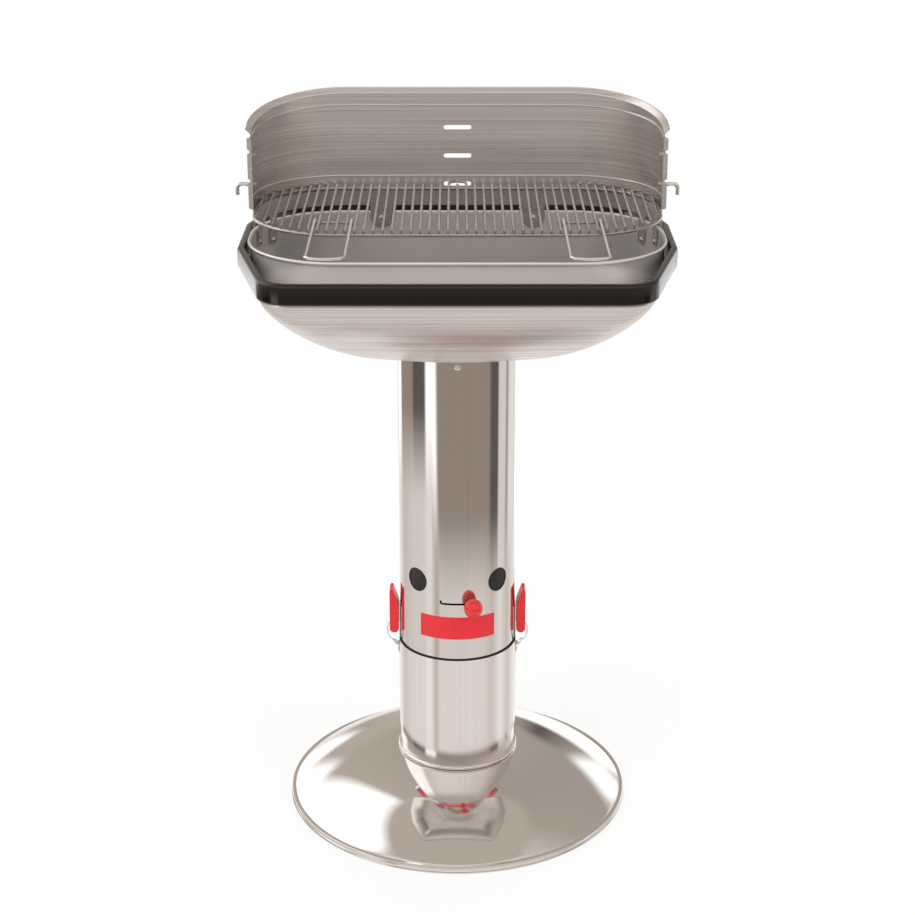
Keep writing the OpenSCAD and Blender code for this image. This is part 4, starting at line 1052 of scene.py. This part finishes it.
@dataclass
class Surround:
    """The studio that the steel mirrors: a closed drum of soft panels, which only gloss shows.

    Attributes:
        radius: Radius of the wall.
        half_height: Half height of the wall.
        gain: How much brighter than the rest the pure white panels are.
        upper: Panels that the column mirrors above its vents, as azimuth in degrees and tone.
        lower: Panels that it mirrors below them.
        sky: Panels above that, which the windscreen and the far parts of the foot mirror.
        roof: Panels higher up, which the flared rim and the near parts of the foot mirror.
        fade: Heights between which the lower panels give way to the upper ones.
        early: How much higher the lower panels reach on the left.
        left: Azimuths between which that extra height ends.
        rise: Heights between which the upper panels give way to the sky.
        lift: Heights between which the sky gives way to the roof.
        shut: Heights between which the roof's panels end in the plain ceiling.
        ceiling: Tone of the ceiling.
        sides: Flat sides of the wall.
    """

    radius: float = 2.2
    half_height: float = 6.0
    gain: float = 1.4
    fade: Flat = (-0.64, -0.42)
    early: float = 0.27
    left: Flat = (-52.0, -34.0)
    rise: Flat = (0.18, 0.36)
    lift: Flat = (0.75, 1.0)
    shut: Flat = (3.7, 4.5)
    ceiling: Tone = Tone.SAND
    sides: int = 96
    upper: Panels = (
        (-180, Tone.STONE), (-164, Tone.CLAY), (-159, Tone.WHITE), (-140, Tone.WHITE), (-134, Tone.TAN),
        (-97, Tone.TAN), (-92, Tone.SLATE), (-66, Tone.SLATE), (-61, Tone.WHITE), (-44, Tone.WHITE),
        (-39, Tone.TAN), (0, Tone.TAN), (62, Tone.TAN), (68, Tone.SLATE), (83, Tone.SLATE),
        (87, Tone.IVORY), (104, Tone.IVORY), (110, Tone.TAN), (118, Tone.CHALK), (137, Tone.CHALK),
        (145, Tone.IVORY), (150, Tone.WHITE), (172, Tone.WHITE), (178, Tone.STONE))
    lower: Panels = (
        (-180, Tone.CHALK), (-150, Tone.CHALK), (-128, Tone.STONE), (-96, Tone.IVORY), (-70, Tone.IVORY),
        (-54, Tone.CHALK), (-42, Tone.SAND), (-34, Tone.IVORY), (0, Tone.IVORY), (50, Tone.IVORY),
        (72, Tone.STONE), (92, Tone.CHALK), (115, Tone.STONE), (140, Tone.CHALK))
    sky: Panels = (
        (-180, Tone.SAND), (-151, Tone.SAND), (-145, Tone.WHITE), (-120, Tone.WHITE), (-112, Tone.SAND),
        (-60, Tone.CLAY), (-25, Tone.DUN), (20, Tone.DUN), (60, Tone.SAND), (100, Tone.STONE),
        (128, Tone.CHALK), (134, Tone.WHITE), (147, Tone.WHITE), (153, Tone.DUN), (165, Tone.SLATE),
        (172, Tone.CLAY))
    roof: Panels = (
        (-180, Tone.CLAY), (-142, Tone.SAND), (-136, Tone.WHITE), (-84, Tone.WHITE), (-74, Tone.IVORY),
        (-44, Tone.CHALK), (0, Tone.CHALK), (58, Tone.IVORY), (104, Tone.CLAY), (150, Tone.DUN),
        (176, Tone.CLAY))

    def light(self, tone: Tone) -> Colour:
        """A tone as the share of the panels' light that it gives."""
        dim = 1.0 if tone is Tone.WHITE else 1.0 / self.gain
        return tuple(value * dim for value in linear(*tone.value))

    def ramp(self, sheet: NodeSheet, turn: bpy.types.NodeSocket, stops: Panels) -> bpy.types.NodeSocket:
        """A ring of panels as a colour ramp over the azimuth.

        Args:
            sheet: The material's sheet.
            turn: The azimuth as a share of a full turn.
            stops: The panels, as azimuth in degrees and tone.

        Returns:
            The colour's socket.
        """
        node = sheet.add("ShaderNodeValToRGB", {"Fac": turn})
        scale = node.color_ramp
        while len(scale.elements) < len(stops):
            scale.elements.new(0.5)
        for element, (azimuth, tone) in zip(scale.elements, stops):
            element.position = (azimuth + 180) / 360
            element.color = (*self.light(tone), 1.0)
        return node.outputs["Color"]

    def material(self) -> bpy.types.Material:
        """Builds the panels' material.

        Returns:
            The material, which only shines.
        """
        sheet = NodeSheet("studio panels")
        place = sheet.add("ShaderNodeTexCoord")
        axes = sheet.add("ShaderNodeSeparateXYZ", {0: place.outputs["Object"]})
        back = sheet.add("ShaderNodeMath", {0: axes.outputs["Y"], 1: -1.0}, operation="MULTIPLY")
        angle = sheet.add("ShaderNodeMath", {0: axes.outputs["X"], 1: back.outputs[0]}, operation="ARCTAN2")
        turn = sheet.ranged(angle.outputs[0], 0.0, 1.0, -math.pi, math.pi)
        early = sheet.ranged(angle.outputs[0], self.early, 0.0, *(math.radians(side) for side in self.left))
        sunk = sheet.add("ShaderNodeMath", {0: axes.outputs["Z"], 1: early}, operation="SUBTRACT")
        low_part = sheet.ranged(sunk.outputs[0], 0.0, 1.0, *self.fade)
        high_part, roof_part, top_part = (
            sheet.ranged(axes.outputs["Z"], 0.0, 1.0, *span) for span in (self.rise, self.lift, self.shut))
        walls = sheet.blend(low_part, self.ramp(sheet, turn, self.lower), self.ramp(sheet, turn, self.upper))
        above = sheet.blend(high_part, walls, self.ramp(sheet, turn, self.sky))
        walled = sheet.blend(roof_part, above, self.ramp(sheet, turn, self.roof))
        whole = sheet.blend(top_part, walled, self.light(self.ceiling))
        shine = sheet.add("ShaderNodeEmission", {"Color": whole, "Strength": self.gain})
        sheet.close(shine.outputs["Emission"])
        return sheet.material

    def build(self) -> None:
        """Builds the wall round the grill and keeps it out of everything but gloss."""
        shape = bmesh.new()
        bmesh.ops.create_cone(shape, cap_ends=True, segments=self.sides, radius1=self.radius,
                              radius2=self.radius, depth=2 * self.half_height)
        wall = linked("studio_surround", mesh_of("studio_surround", shape))
        wall.data.materials.append(self.material())
        wall.visible_camera = False
        wall.visible_diffuse = False
        wall.visible_transmission = False
        wall.visible_volume_scatter = False
        wall.visible_shadow = False


@dataclass
class Studio:
    """Floor, white background, soft lamps and the wall of panels.

    Attributes:
        floor_radius: Radius of the floor.
        floor_sides: Sides of the floor's outline.
        floor_grey: How much light the floor gives back.
        shadow_span: Distances from the axis between which the shadow ends.
        shadow_share: Share of the shadow that shows.
        daylight: Strength of the soft light from all round.
        warmth: Colour of that light.
        lamps: The lamps, as name, place, length of side and power in watts.
        surround: The wall of panels.
    """

    floor_radius: float = 14.0
    floor_sides: int = 128
    floor_grey: float = 0.9
    shadow_span: Flat = (0.25, 0.75)
    shadow_share: float = 0.15
    daylight: float = 0.62
    warmth: Colour = (1.0, 0.99, 0.975)
    lamps: tuple[tuple[str, Colour, float, float], ...] = (
        ("key lamp", (-1.7, -1.9, 2.6), 1.6, 42.0), ("fill lamp", (2.1, -1.5, 1.9), 1.6, 20.0),
        ("rear lamp", (0.3, 2.3, 2.4), 1.8, 18.0))
    surround: Surround = field(default_factory=Surround)

    def floor(self) -> None:
        """Builds a pale floor that is white to the camera and keeps the grill's shadow."""
        sheet = NodeSheet("white floor")
        place = sheet.add("ShaderNodeTexCoord")
        far = sheet.add("ShaderNodeVectorMath", {0: place.outputs["Object"]}, operation="LENGTH")
        share = sheet.ranged(far.outputs["Value"], self.shadow_share, 0.0, *self.shadow_span)
        matt = sheet.add("ShaderNodeBsdfDiffuse", {"Color": (*[self.floor_grey] * 3, 1.0)})
        white = sheet.add("ShaderNodeEmission", {"Color": (1.0, 1.0, 1.0, 1.0), "Strength": 1.0})
        keeps = sheet.add("ShaderNodeMixShader", {
            0: share, 1: white.outputs["Emission"], 2: matt.outputs["BSDF"]})
        rays = sheet.add("ShaderNodeLightPath")
        seen = sheet.add("ShaderNodeMixShader", {
            0: rays.outputs["Is Camera Ray"], 1: matt.outputs["BSDF"], 2: keeps.outputs["Shader"]})
        sheet.close(seen.outputs["Shader"])
        shape = bmesh.new()
        bmesh.ops.create_circle(shape, cap_ends=True, segments=self.floor_sides, radius=self.floor_radius)
        ground = linked("floor", mesh_of("floor", shape))
        ground.data.materials.append(sheet.material)
        ground.visible_glossy = False

    def background(self) -> None:
        """Makes the world white to the camera, the gloss and the glass, and a soft light to the rest."""
        world = bpy.data.worlds.new("studio")
        bpy.context.scene.world = world
        world.use_nodes = True
        tree = world.node_tree
        tree.nodes.clear()

        def shine(colour: Colour, strength: float) -> bpy.types.NodeSocket:
            """An even light of one colour."""
            node = tree.nodes.new("ShaderNodeBackground")
            node.inputs["Color"].default_value = (*colour, 1.0)
            node.inputs["Strength"].default_value = strength
            return node.outputs[0]

        rays = tree.nodes.new("ShaderNodeLightPath")
        seen = rays.outputs["Is Camera Ray"]
        for kind in ("Is Glossy Ray", "Is Transmission Ray"):
            either = tree.nodes.new("ShaderNodeMath")
            either.operation = "MAXIMUM"
            tree.links.new(seen, either.inputs[0])
            tree.links.new(rays.outputs[kind], either.inputs[1])
            seen = either.outputs[0]
        mix = tree.nodes.new("ShaderNodeMixShader")
        tree.links.new(seen, mix.inputs[0])
        tree.links.new(shine(self.warmth, self.daylight), mix.inputs[1])
        tree.links.new(shine((1.0, 1.0, 1.0), 1.0), mix.inputs[2])
        out = tree.nodes.new("ShaderNodeOutputWorld")
        tree.links.new(mix.outputs[0], out.inputs["Surface"])

    def lamp(self, name: str, place: Colour, size: float, power: float,
             aim: Colour = (0.0, 0.0, 0.5)) -> None:
        """Hangs a square soft lamp.

        Args:
            name: Name of the lamp.
            place: Where it hangs.
            size: Length of its sides.
            power: Its power in watts.
            aim: The point that it faces.
        """
        data = bpy.data.lights.new(name, "AREA")
        data.shape = "SQUARE"
        data.size = size
        data.energy = power
        item = linked(name, data)
        item.location = place
        item.rotation_euler = (Vector(aim) - Vector(place)).to_track_quat("-Z", "Y").to_euler()
        item.visible_glossy = False

    def build(self) -> None:
        """Builds the whole studio."""
        self.floor()
        self.background()
        self.surround.build()
        for row in self.lamps:
            self.lamp(*row)
        bpy.context.scene.view_settings.view_transform = "Standard"


@dataclass
class Viewpoint:
    """The camera, as the photograph was framed."""

    place: Colour = (0.0, -2.6123, 1.4945)
    look_down: float = 20.617
    lens: float = 79.89
    sensor: float = 36.0
    far: float = 60.0

    def build(self) -> None:
        """Creates the camera and makes it the scene's."""
        data = bpy.data.cameras.new("camera")
        data.lens = self.lens
        data.sensor_width = self.sensor
        data.clip_end = self.far
        item = linked("camera", data)
        item.location = self.place
        item.rotation_euler = (math.radians(90.0 - self.look_down), 0.0, 0.0)
        bpy.context.scene.camera = item


def main() -> None:
    """Dresses the frame, then builds each sub-assembly, the studio and the camera."""
    logging.basicConfig(level=logging.INFO, format="%(message)s")
    Viewpoint().build()
    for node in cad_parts:
        WARDROBE.dress(node)
    Foot().build()
    Bowl().build()
    FlaredRim().build()
    ScreenBeads().build()
    for side in Side:
        GridHandle(side).build()
    Studio().build()


if __name__ == "__main__":
    main()
